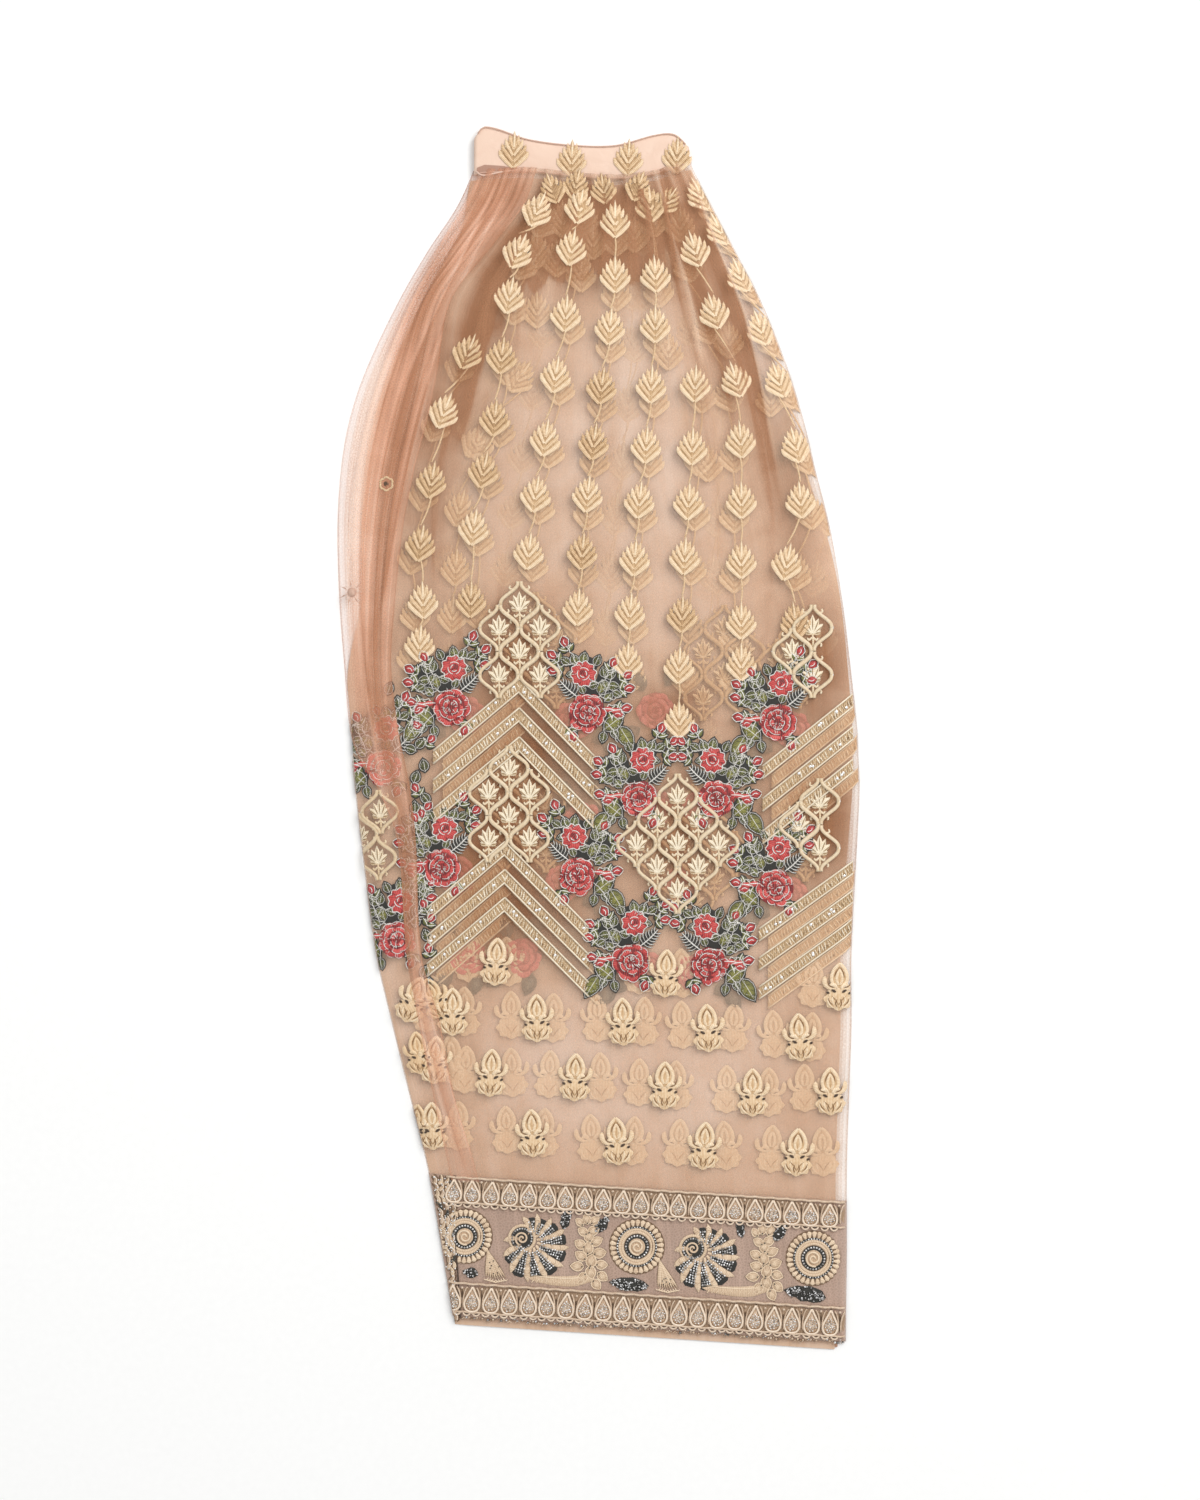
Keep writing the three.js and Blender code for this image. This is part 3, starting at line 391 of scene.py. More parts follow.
@dataclass(frozen=True)
class Lay:
    """Heights of the folded garment over the floor, as the solids have them."""

    wall: float = 1.3
    layer_gap: float = 0.45
    gusset_gap: float = 1.2
    edge_height: float = 0.3
    roll_width: float = 6.0
    fold_run_out: float = 170.0
    whole_leg_y: float = 45.0
    whole_leg_run: float = 50.0
    tuck_width: float = 14.0
    edge_clearance: float = 3.0

    def pile(self, x: np.ndarray, y: np.ndarray) -> np.ndarray:
        """Height of the hidden layers, which roll down to the floor at both edges."""
        rise = np.maximum(0, np.minimum(x - edge("left", y), edge("right", y) - x))
        return self.edge_height + edge("crown", y) * (1 - np.exp(-rise / self.roll_width))

    def folds(self, rows: Sequence[Fold], share: np.ndarray, y: np.ndarray) -> np.ndarray:
        """Height that the gathers add at a share of the panel's width."""
        height = np.zeros(np.broadcast(share, y).shape)
        for row in rows:
            strength = smoothstep(y, row.foot, row.foot + self.fold_run_out)
            height += row.height * strength * np.exp(-(((share - row.at) / row.width) ** 2))
        return height

    def near(self, x: np.ndarray, y: np.ndarray) -> np.ndarray:
        """Outer face of the near leg."""
        left = edge("leg", y)
        share = (x - left) / (edge("right", y) - left)
        return self.border(x, y) + self.folds(LEG_GATHERS, share, y)

    def border(self, x: np.ndarray, y: np.ndarray) -> np.ndarray:
        """Outer face of the border."""
        return self.pile(x, y) + self.layer_gap + self.wall

    def gusset(self, x: np.ndarray, y: np.ndarray) -> np.ndarray:
        """Outer face of the gusset, which steps up where it lies on the leg's edge."""
        left = edge("gusset_left", y)
        share = (x - left) / (edge("gusset_right", y) - left)
        leg = edge("leg", y)
        on_leg = smoothstep(x - leg, -self.tuck_width, -self.edge_clearance)
        below = 1 - smoothstep(y, self.whole_leg_y, self.whole_leg_y + self.whole_leg_run)
        step = np.maximum(on_leg, below)
        low, high = self.pile(x, y) + self.layer_gap, self.near(x, y) + self.gusset_gap
        return low + (high - low) * step + self.wall + self.folds(GUSSET_FOLDS, share, y)

    def middle(self, x: np.ndarray, y: np.ndarray) -> np.ndarray:
        """Cloth two layers down."""
        return 0.2 + 0.72 * self.pile(x, y)

    def far(self, x: np.ndarray, y: np.ndarray) -> np.ndarray:
        """Cloth that lies on the floor."""
        return 0.15 + 0.3 * self.pile(x, y)

    def band(self, x: np.ndarray, y: np.ndarray) -> np.ndarray:
        """Outer face of the folded waistband."""
        return np.full(np.broadcast(x, y).shape, 6.95)


LAY = Lay()


@dataclass(frozen=True)
class Place:
    """Where a motif lies on the cloth, how it is turned and how large it is."""

    x: float = 0.0
    y: float = 0.0
    turn: float = 0.0
    size: float = 1.0
    flip: float = 1.0

    def points(self, local: np.ndarray) -> np.ndarray:
        """Moves a motif's own points to their place; a third column is a height."""
        out = np.array(local, float)
        x, y = out[:, 0] * self.size * self.flip, out[:, 1] * self.size
        out[:, 0] = self.x + x * math.cos(self.turn) - y * math.sin(self.turn)
        out[:, 1] = self.y + x * math.sin(self.turn) + y * math.cos(self.turn)
        return out

    def at(self, x: float, y: float, degrees: float = 0.0, size: float = 1.0) -> "Place":
        """Gives the place of a smaller motif that belongs to this one."""
        (spot,) = self.points(np.array([[x, y]]))
        turn = self.turn + self.flip * math.radians(degrees)
        return Place(spot[0], spot[1], turn, self.size * size, self.flip)


def smooth(points: Line, count: int) -> np.ndarray:
    """Runs a smooth curve through a few points.

    Args:
        points: The points to pass through.
        count: How many points to return.

    Returns:
        The points of the curve, evenly spread over its spans.
    """
    given = np.array(points, float)
    ends = np.vstack((2 * given[0] - given[1], given, 2 * given[-1] - given[-2]))
    s = np.linspace(0, len(given) - 1, count)
    i = np.minimum(s.astype(int), len(given) - 2)
    t = (s - i)[:, None]
    a, b, c, d = ends[i], ends[i + 1], ends[i + 2], ends[i + 3]
    return 0.5 * (2 * b + (c - a) * t + (2 * a - 5 * b + 4 * c - d) * t**2 + (3 * b - a - 3 * c + d)
        * t**3)


def ring(radius: float, count: int, start: float = 0.0) -> np.ndarray:
    """Gives points round a circle."""
    angles = start + np.linspace(0, 2 * math.pi, count, endpoint=False)
    return np.column_stack((radius * np.cos(angles), radius * np.sin(angles)))


@dataclass
class Needlework:
    """Collects worked shapes over a layer of cloth and makes one mesh of them."""

    name: str
    surface: Surface
    points: list[np.ndarray] = field(default_factory=list)
    tones: list[np.ndarray] = field(default_factory=list)
    threads: list[np.ndarray] = field(default_factory=list)
    faces: list[np.ndarray] = field(default_factory=list)
    slots: list[np.ndarray] = field(default_factory=list)
    finishes: list[Finish] = field(default_factory=list)
    count: int = 0
    folded: bool = True

    def put(self, points: np.ndarray, faces: np.ndarray, finish: Finish, tone: float | np.ndarray,
            thread: np.ndarray) -> None:
        """Adds one shape.

        Args:
            points: x, y and the height over the cloth of each point.
            faces: Triangles, by the numbers of their points.
            finish: What the shape is made of.
            tone: How light it is, from 0 to 1, for the whole shape or each point.
            thread: Where each point lies along and across the threads.
        """
        left, right = edge("left", points[:, 1]) + 1, edge("right", points[:, 1]) - 1
        if self.folded:
            if (points[:, 0] < left).all() or (points[:, 0] > right).all():
                return
            points = points.copy()
            points[:, 0] = np.clip(points[:, 0], left, right)
        if finish not in self.finishes:
            self.finishes.append(finish)
        self.points.append(points)
        self.tones.append(np.broadcast_to(np.asarray(tone, float), (len(points),)))
        self.threads.append(thread)
        self.faces.append(faces + self.count)
        self.slots.append(np.full(len(faces), self.finishes.index(finish)))
        self.count += len(points)

    def stroke(self, place: Place, line: np.ndarray, width: float, height: float, finish: Finish,
            tone: float = 0.6, ends: Ends = POINTED, lift: float = 0.0) -> None:
        """Works one satin-stitched stroke: a low rounded ridge along a line.

        Args:
            place: Where the motif lies.
            line: The middle line in the motif's own sizes.
            width: The greatest width.
            height: The greatest height over its lift.
            finish: The thread.
            tone: How light it is.
            ends: How the width runs along it.
            lift: Height of its edges over the cloth.
        """
        s = np.linspace(0, 1, len(line))
        profile = {POINTED: np.sin(np.pi * s) ** 0.7, LEAF: np.sqrt(np.maximum(0,
            1 - s**2.5)) * np.minimum(1, 0.55 + 1.6 * s), EVEN: np.minimum(1,
            np.minimum(5 * s, 5 * (1 - s)) + 0.35) ** 0.5, CLUB: np.minimum(1,
            0.3 + 1.1 * s) * np.sqrt(np.maximum(0, 1 - s**6))}[ends]
        along = np.gradient(line, axis=0)
        along /= np.maximum(np.linalg.norm(along, axis=1, keepdims=True), 1e-9)
        side = np.column_stack((-along[:, 1], along[:, 0]))
        half = (0.5 * width * np.maximum(profile, 0.06))[:, None]
        run = np.concatenate(([0], np.cumsum(np.linalg.norm(np.diff(line, axis=0), axis=1))))
        rows = []
        for across, up in ((1, 0), (0.55, 0.8), (-0.55, 0.8), (-1, 0)):
            flat = place.points(line + side * half * across)
            high = lift + height * up * np.maximum(profile, 0.15)
            rows.append(np.column_stack((flat, high)))
        points = np.stack(rows, axis=1).reshape(-1, 3)
        thread = np.column_stack((np.repeat(run, 4) * place.size,
            np.tile((1, 0.55, -0.55, -1), len(line)) * width / 2))
        i = np.arange(len(line) - 1)[:, None] * 4 + np.arange(3)[None, :]
        i = i.reshape(-1, 1)
        if place.flip > 0:
            faces = np.vstack((i + (0, 1, 5), i + (0, 5, 4)))
        else:
            faces = np.vstack((i + (0, 5, 1), i + (0, 4, 5)))
        self.put(points, faces[:, ::-1], finish, tone, thread)

    def cord(self, place: Place, line: np.ndarray, radius: float, finish: Finish, tone: float = 0.6,
            lift: float = 0.0, sides: int = 5) -> None:
        """Couches a round cord along a line.

        Args:
            place: Where the motif lies.
            line: The cord's middle line in the motif's own sizes.
            radius: The cord's radius.
            finish: What it is made of.
            tone: How light it is.
            lift: Height of its underside over the cloth.
            sides: How many sides its section has.
        """
        flat = place.points(line)
        along = np.gradient(flat, axis=0)
        along /= np.maximum(np.linalg.norm(along, axis=1, keepdims=True), 1e-9)
        side = np.column_stack((-along[:, 1], along[:, 0]))
        run = np.concatenate(([0], np.cumsum(np.linalg.norm(np.diff(flat, axis=0), axis=1))))
        angles = np.linspace(0, 2 * math.pi, sides, endpoint=False)
        rows = []
        for angle in angles:
            out = flat + side * radius * math.cos(angle)
            rows.append(np.column_stack((out, np.full(len(out),
                lift + radius * (1 + math.sin(angle))))))
        points = np.stack(rows, axis=1).reshape(-1, 3)
        thread = np.column_stack((np.repeat(run, sides) + np.tile(angles, len(line)) * radius,
            np.tile(angles, len(line)) * radius))
        faces = []
        last = (len(line) - 1) * sides
        for k in range(sides):
            a = np.arange(len(line) - 1)[:, None] * sides + k
            b = np.arange(len(line) - 1)[:, None] * sides + (k + 1) % sides
            faces.append(np.hstack((a, b + sides, b)))
            faces.append(np.hstack((a, a + sides, b + sides)))
        for k in range(1, sides - 1):
            faces.append(np.array([[0, k, k + 1], [last, last + k + 1, last + k]]))
        self.put(points, np.vstack(faces)[:, ::-1], finish, tone, thread)

    def dome(self, place: Place, outline: np.ndarray, height: float, finish: Finish,
            tone: float = 0.5, lift: float = 0.0, rim: float = 0.0, grain: float = 0.0) -> None:
        """Fills an outline with a low dome of stitches.

        Args:
            place: Where the motif lies.
            outline: The outline, anticlockwise, in the motif's own sizes.
            height: Height at its middle.
            finish: The thread.
            tone: How light its middle is.
            lift: Height of its edge over the cloth.
            rim: How much lighter its edge is.
            grain: Direction of the threads in degrees.
        """
        middle = outline.mean(axis=0)
        inner = middle + 0.72 * (outline - middle)
        local = np.vstack((outline, inner, middle))
        n = len(outline)
        high = np.concatenate((np.full(n, lift), np.full(n, lift + 0.75 * height), [lift + height]))
        turn = math.radians(grain)
        thread = np.column_stack((local @ (math.cos(turn), math.sin(turn)),
            local @ (-math.sin(turn), math.cos(turn)))) * place.size
        k = np.arange(n)
        j = (k + 1) % n
        faces = np.vstack((np.column_stack((k, j, j + n)), np.column_stack((k, j + n, k + n)),
            np.column_stack((k + n, j + n, np.full(n, 2 * n)))))
        if place.flip < 0:
            faces = faces[:, ::-1]
        tones = np.concatenate((np.full(n, tone + rim), np.full(n, tone + rim / 2), [tone]))
        self.put(np.column_stack((place.points(local), high)), faces, finish, tones, thread)

    def bead(self, place: Place, x: float, y: float, radius: float, finish: Finish,
            tone: float = 0.6, lift: float = 0.0) -> None:
        """Sews on one bead."""
        flat = place.at(x, y)
        points = np.array([(flat.x, flat.y, lift + 2 * radius)] + [(flat.x + radius * math.cos(a),
            flat.y + radius * math.sin(a), lift + radius) for a in np.linspace(0, 2 * math.pi, 6,
            endpoint=False)] + [(flat.x, flat.y, lift)])
        faces = [(0, k, k % 6 + 1) for k in range(1, 7)] + [(7, k % 6 + 1, k) for k in range(1, 7)]
        thread = np.column_stack((points[:, 2], points[:, 0]))
        self.put(points, np.array(faces), finish, tone, thread)

    def make(self) -> bpy.types.Object:
        """Makes the mesh and lays it on its cloth."""
        points = np.vstack(self.points)
        points[:, 2] += self.surface(points[:, 0], points[:, 1])
        return mesh_object(self.name, points, np.vstack(self.faces), np.vstack(self.threads),
            {"tone": np.concatenate(self.tones)}, self.finishes, np.concatenate(self.slots))


MATERIALS: dict[Finish, bpy.types.Material] = {}


def mesh_object(name: str, points: np.ndarray, faces: np.ndarray, threads: np.ndarray,
        attributes: dict[str, np.ndarray], finishes: Sequence[Finish],
        slots: np.ndarray | None = None) -> bpy.types.Object:
    """Makes one smooth-shaded mesh object and reports it.

    Args:
        name: The piece's name.
        points: x, y and z of each point, in millimetres.
        faces: Triangles or squares, by the numbers of their points.
        threads: Where each point lies along and across the threads, in millimetres.
        attributes: A number for each point, by the attribute's name.
        finishes: The finishes in the order of their slots.
        slots: The slot of each face.

    Returns:
        The object, in the scene.
    """
    mesh = bpy.data.meshes.new(name)
    mesh.vertices.add(len(points))
    mesh.vertices.foreach_set("co", (points * MM).astype(np.float32).ravel())
    corners = faces.shape[1]
    mesh.loops.add(faces.size)
    mesh.loops.foreach_set("vertex_index", faces.astype(np.int32).ravel())
    mesh.polygons.add(len(faces))
    mesh.polygons.foreach_set("loop_start", np.arange(0, faces.size, corners, dtype=np.int32))
    if slots is not None:
        mesh.polygons.foreach_set("material_index", slots.astype(np.int32))
    for finish in finishes:
        if finish not in MATERIALS:
            MATERIALS[finish] = finish.material()
        mesh.materials.append(MATERIALS[finish])
    for key, values in attributes.items():
        layer = mesh.attributes.new(key, "FLOAT", "POINT")
        layer.data.foreach_set("value", values.astype(np.float32))
    uv = mesh.uv_layers.new(name="thread")
    uv.data.foreach_set("uv", threads[faces.ravel()].astype(np.float32).ravel())
    mesh.update(calc_edges=True)
    mesh.validate()
    mesh.polygons.foreach_set("use_smooth", np.ones(len(mesh.polygons), bool))
    made = bpy.data.objects.new(name, mesh)
    bpy.context.scene.collection.objects.link(made)
    log.info("%s: %d faces", name, len(mesh.polygons))
    return made


def thicken(made: bpy.types.Object, thickness: float) -> None:
    """Gives a cloth its thickness, inwards from its outer face."""
    thick = made.modifiers.new("cloth thickness", "SOLIDIFY")
    thick.thickness = thickness * MM
    thick.offset = -1


def set_down(made: bpy.types.Object, node: str = "") -> None:
    """Lets a piece ride on the garment, in place of its node where it has one."""
    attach(made, "root")
    if node:
        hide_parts(node)


def leaf_outline(length: float, width: float, count: int = 12) -> np.ndarray:
    """Gives the outline of a pointed leaf about its middle, with its tip upwards."""
    s = np.linspace(0, 1, count // 2 + 1)
    half = 0.5 * width * np.sin(np.pi * s**0.85) ** 0.8
    right = np.column_stack((half, length * (s - 0.5)))
    left = right[-2:0:-1] * (-1, 1)
    return np.vstack((right, left))


def coil(turns: np.ndarray, start: float, growth: float) -> np.ndarray:
    """Gives points along a flat coil, by its angles in radians."""
    return np.column_stack((np.cos(turns), np.sin(turns))) * (start + growth * turns)[:, None]


def arc(radius: float, start: float, span: float, count: int = 7) -> np.ndarray:
    """Gives points along an arc, with its start and span in degrees."""
    angles = np.radians(np.linspace(start, start + span, count))
    return np.column_stack((radius * np.cos(angles), radius * np.sin(angles)))


@dataclass(frozen=True)
class GoldLeaf:
    """A leaf in satin stitch, in straight chevrons that turn up to pointed tips.

    Each rib gives where it leaves the vein, x and y of its bend, x and y of its tip, and
    how light it is.
    """

    ribs: Sequence[Row] = ((-16.0, 11.4, -5.4, 12.8, -0.6, 0.36),
        (-10.6, 9.2, -0.6, 10.6, 5.0, 0.22), (-5.2, 6.3, 3.6, 7.5, 9.6, 0.38),
        (0.2, 3.3, 7.2, 4.0, 13.2, 0.26))
    outline: Line = ((0, -16.8), (6.0, -11.8), (11.4, -6.8), (12.7, -1.4), (10.2, -1.4),
        (10.5, 4.2), (8.0, 2.8), (7.4, 8.8), (5.2, 7.0), (4.0, 12.4), (2.4, 10.2), (0, 16.8),
        (-2.4, 10.2), (-4.0, 12.4), (-5.2, 7.0), (-7.4, 8.8), (-8.0, 2.8), (-10.5, 4.2),
        (-10.2, -1.4), (-12.7, -1.4), (-11.4, -6.8), (-6.0, -11.8))

    def work(self, bench: Needlework, place: Place, thread: Finish, tone: float = 0.5,
            relief: float = 1.0) -> None:
        """Works the leaf at its place, more simply where it lies far below."""
        bench.dome(place, np.array(self.outline), 0.6 * relief, thread, tone - 0.15, 0.1, 0.2)
        for number, (start, bend_x, bend_y, x, y, light) in enumerate(self.ribs):
            for way in (-1, 1):
                rib = np.array(((0.5, start), (0.5 * bend_x, 0.5 * (start + bend_y) - 0.5),
                    (0.92 * bend_x, bend_y - 0.8), (bend_x, bend_y + 0.5),
                    (0.5 * (bend_x + x), 0.5 * (bend_y + y)), (x, y))) * (way, 1)
                bench.stroke(place, rib, 4.0, 0.9 * relief, thread, tone + light - 0.1, LEAF,
                    0.5 * relief)
                # Thin dark lines under the ribs: painted shade in the grooves between them.
                if number and relief > 0.3:
                    bench.stroke(place, rib[:5] - (0, 2.3), 0.7, 0.2, thread,
                        tone - (0.2 if relief > 0.7 else 0.1), POINTED, 1.1 * relief)
        line = smooth(((0, 2), (0.3, 9), (0, 16.8)), 4)
        bench.stroke(place, line, 2.2, 0.9 * relief, thread, tone + 0.42, LEAF, 0.8 * relief)


@dataclass(frozen=True)
class Bud:
    """A plump bud: a pointed double petal, a collar with two horns and a ruffled foot.

    Each stroke gives its line on the right half, how many points it has, its width and
    height, how light it is, how it ends and its lift.
    """

    strokes: Sequence[tuple[Line, int, float, float, float, Ends,
        float]] = ((((0, 19.9), (4.9, 13.8), (6.9, 7.2), (5.4, 1.6), (1.6, -1.6)), 10, 3.3, 1, 0.3,
        EVEN, 0.4), (((0, 14.6), (2.1, 9.6), (2.4, 5), (0.6, 1.2)), 7, 2.6, 0.8, 0.3, EVEN, 0.8),
        (((2.6, -2.6), (7.2, -2.4), (11.4, 0.2), (12.9, 4.6), (12.4, 8.4)), 9, 4.6, 1, 0.25, CLUB,
        0.5), (((1.2, -0.8), (5.4, 1.4), (9, -0.4)), 6, 3.8, 1, 0.34, POINTED, 0.7))
    shadows: Sequence[Line] = (((0, 17.0), (3.2, 11.8), (4.4, 7.4)),
        ((4.6, -1.2), (8.6, 0.4), (10.6, 4.6)), ((4.4, -17.0), (8.2, -13.4), (9.4, -9.6)),
        ((1.0, -18.6), (2.6, -14.6), (1.2, -10.6)))

    def work(self, bench: Needlework, place: Place, thread: Finish = GOLD, tone: float = 0.5,
            relief: float = 1.2) -> None:
        """Works the bud at its place."""
        base = place.at(0, -11.2)
        full = relief > 0.7
        ruffle = ring(1.0, 32)
        ruffle *= (1 + 0.08 * np.cos(8 * np.linspace(0, 2 * math.pi, 32, endpoint=False)))[:, None]
        bench.dome(base, ruffle * (12.6, 9.4), relief, thread, tone + 0.1, 0.1, 0.1)
        bench.dome(place.at(0, 8.4), leaf_outline(23, 16, 14), 0.9 * relief, thread, tone - 0.02)
        for way in (-1, 1):
            for line, count, width, height, light, ends, lift in self.strokes:
                bench.stroke(place, smooth(line, count) * (way, 1), width, height * relief, thread,
                    tone + light, ends, lift)
            for foot, span, turn in ((8.2, 95, -70), (5.0, 110, -60)):
                curl = arc(foot, turn, span, 8) * (1.15 * way, 0.95) + (0, -0.6)
                bench.stroke(base, curl, 2.0, 0.8 * relief, thread, tone + 0.32, POINTED,
                    0.7 * relief)
            if full:
                # Dark holes in the bud: painted shade in its hollows.
                for x, y, length in ((4.6, -4.1, 2.3), (9.6, -5.8, 1.5)):
                    hole = place.at(x * way, y, 28 * way)
                    bench.dome(hole, ring(1.0, 8) * (length, 1.1), 0.15, SHADE_BROWN, 0.3,
                        relief + 0.5)
                for line in self.shadows:
                    bench.stroke(place, smooth(line, 6) * (way, 1), 0.9, 0.2, thread, tone - 0.6,
                        POINTED, 1.25 * relief)
            # A dark line in the foot: painted shade in its groove, like the shadow lines.
            fork = smooth(((0, -16.4), (2.6, -12), (6.4, -8.2)), 6) * (way, 1)
            bench.stroke(place, fork, 0.9, 0.2, thread, tone - 0.35, POINTED, 1.2 * relief)
        for k in range(9 if full else 0):
            spoke = arc(1.0, 208 + 16 * k, 4, 3)
            line = spoke * (10.8, 8.4) * np.array(((0.66,), (0.82,), (0.98,)))
            bench.stroke(base, line, 2.2, 0.7 * relief, thread, tone + (0.4 if k % 2 else 0.05),
                CLUB, 0.5)


@dataclass(frozen=True)
class Cell:
    """One ogee of the lattice in couched cord, with a seven-lobed sprig inside."""

    half_width: float = 17.6
    half_height: float = 20.2
    inset: float = 1.4
    radius: float = 1.7
    lobes: Sequence[Row] = ((0, 11.4, 5.2), (5.2, 8.2, 4.6), (-5.2, 8.2, 4.6), (9.0, 3.4, 4.8),
        (-9.0, 3.4, 4.8), (7.0, -2.8, 4.0), (-7.0, -2.8, 4.0))

    def work(self, bench: Needlework, place: Place, thread: Finish = CORD, tone: float = 0.7,
            relief: float = 1.0) -> None:
        """Works the cell at its place."""
        s = np.linspace(0, 1, 15)
        x = self.inset + (self.half_width - 2 * self.inset) * smoothstep(s, 0.1, 0.93)
        y = (self.half_height - 0.3) * (1 - s)
        for across in (-1, 1):
            for up in (-1, 1):
                line = np.column_stack((across * x, up * y))
                bench.cord(place, line, self.radius, thread, tone)
            for curl in (((1.5, -17), (5.4, -12.6), (7.6, -14.4), (6.6, -16.2)),
                ((1.6, 17.6), (5.2, 13.4), (8.4, 13.8), (7.8, 16.4)),
                ((0.4, -8), (3.4, -10.6), (4.6, -8.4))):
                line = smooth(np.array(curl) * (across, 1), 7)
                bench.stroke(place, line, 1.8, relief, thread, tone + 0.1, EVEN)
            bench.bead(place, across * (self.half_width - 0.4), 0, 1.15, SEQUIN, 0.7, 0.6)
            low = smooth(((0, -5.5), (across * 4, -5.2), (across * 7, -4)), 5)
            bench.stroke(place, low, 2.6, relief, thread, tone, CLUB)
        bench.stroke(place, smooth(((0, -19), (0.4, -12), (0, -5)), 5), 1.9, relief, thread, tone,
            EVEN)
        bench.dome(place.at(0, 0.6), ring(6.0, 12), 0.7, thread, tone)
        for x, y, width in self.lobes:
            line = smooth(((0, -4.5), (0.55 * x, 0.45 * y - 1.6), (x, y)), 5)
            bench.stroke(place, line, width, relief * 1.1, thread, tone + 0.25, LEAF)
            # A dark line under each lobe: painted shade between the lobes.
            gap = line[1:] - (0, 1.5)
            bench.stroke(place, gap, 0.9, 0.2, thread, tone - 0.7, POINTED, 1.1 * relief)


@dataclass(frozen=True)
class Ribbon:
    """A length of woven tinsel ribbon between two cords, with slanting ridges."""

    width: float = 9.4
    pitch: float = 3.1

    def work(self, bench: Needlework, ends: tuple[float, float, float, float],
            thread: Finish = TINSEL, tone: float = 0.5, sequins: int = 5, seed: int = 0) -> None:
        """Works the ribbon from its high end to its low end, between upright cuts.

        Args:
            bench: The cloth it is sewn to.
            ends: x and y of the top corner at the apex, then at the far end.
            thread: What it is made of.
            tone: How light it is.
            sequins: How many sequins lie along it.
            seed: Seeds where they lie.
        """
        x0, y0, x1, y1 = ends
        draw = random.Random(seed)
        along = np.array((x1 - x0, y1 - y0))
        length = float(np.hypot(*along))
        drop = self.width * length / abs(x1 - x0)
        place = Place()

        def at(share: float, across: float) -> tuple[float, float]:
            """Gives the place at a share of its length and of its width."""
            return x0 + along[0] * share, y0 + along[1] * share - drop * across

        steps = max(2, int(length / 8))
        top = np.array([at(i / steps, 0) for i in range(steps + 1)])
        foot = np.array([at(i / steps, 1) for i in range(steps + 1)])
        corners = np.stack((top, foot), axis=1).reshape(-1, 2)
        height = np.full((len(corners), 1), 0.5)
        i = 2 * np.arange(steps)
        faces = np.vstack((np.column_stack((i, i + 1, i + 3)), np.column_stack((i, i + 3, i + 2))))
        if x1 < x0:
            faces = faces[:, ::-1]
        bench.put(np.hstack((corners, height)), faces, thread, tone - 0.12, corners)
        for across in (0.05, 0.95):
            line = np.array([at(i / steps, across) for i in range(steps + 1)])
            bench.cord(place, line, 0.8, thread, tone + 0.42, 0.4)
        ridges = int(length / self.pitch)
        for k in range(ridges):
            share = (k + 0.5 + draw.uniform(-0.15, 0.15)) / ridges
            slant = draw.uniform(0.2, 0.8) * self.pitch / length
            line = np.array([at(share - slant, 0.8), at(share, 0.5), at(share + slant, 0.2)])
            bench.stroke(place, line, draw.uniform(1.0, 1.6), 0.6, thread,
                tone + draw.uniform(0.05, 0.45), EVEN, 0.6)
            # A dark stroke beside each ridge: painted shade.
            line = np.array([at(share + slant, 0.75), at(share + 1.4 * slant, 0.6),
                at(share + 1.9 * slant, 0.5)])
            bench.stroke(place, line, 0.8, 0.3, thread, tone - 0.45, EVEN, 0.65)
        for _ in range(sequins):
            x, y = at(draw.uniform(0.05, 0.95), draw.uniform(0.3, 0.7))
            bench.dome(Place(x, y, draw.uniform(0, 1.5)), ring(1.25, 6), 0.35, SEQUIN, 0.8, 1.2)


@dataclass(frozen=True)
class Rose:
    """A full rose in red floss: rings of crescent petals, each edged with silver."""

    radius: float = 16.0
    rings: Sequence[tuple[float, int, float, float]] = ((0.8, 9, 50, 0.3), (0.53, 6, 72, 0.27),
        (0.26, 4, 100, 0.22))

    def work(self, bench: Needlework, place: Place, seed: int, thread: Finish = ROSE,
            edging: Finish = SILVER, relief: float = 1.0) -> None:
        """Works the rose at its place."""
        draw = random.Random(seed)
        outline = ring(self.radius, 24)
        outline *= np.array([[draw.uniform(0.93, 1.03)] for _ in outline])
        bench.dome(place, outline, 0.9 * relief, thread, 0.12)
        for share, count, span, width in self.rings:
            start = draw.uniform(0, 360)
            for k in range(count):
                angle = start + 360 * k / count + draw.uniform(-14, 14)
                reach = self.radius * share * draw.uniform(0.9, 1.06)
                bulge = draw.uniform(0.06, 0.2)
                swell = 1 + bulge * np.sin(np.linspace(0, math.pi, 7))[:, None]
                long = span * draw.uniform(0.8, 1.1)
                petal = arc(reach, angle, long, 7) * swell
                bench.stroke(place, petal, self.radius * width * draw.uniform(0.8, 1.1),
                    (2.0 - share) * relief, thread, draw.uniform(0.3, 0.62), POINTED, 0.5)
                rim = arc(reach + self.radius * 0.1, angle + 6, long * draw.uniform(0.5, 0.9), 6)
                bench.stroke(place, rim * swell[:6], 0.65, 0.5 * relief, edging,
                    draw.uniform(0.35, 0.75), EVEN, (2.2 - share) * relief)
        for _ in range(46):
            angle = draw.uniform(0, 360)
            reach = self.radius * draw.uniform(0.12, 0.97)
            spot = place.at(reach * math.cos(math.radians(angle)),
                reach * math.sin(math.radians(angle)), angle)
            line = np.array(((-1.3, draw.uniform(-0.8, 0.8)), (0, 0), (1.3, 0)))
            bench.stroke(spot, line, 0.5, 0.3, edging, draw.uniform(0.3, 0.7), EVEN, 2.2 * relief)


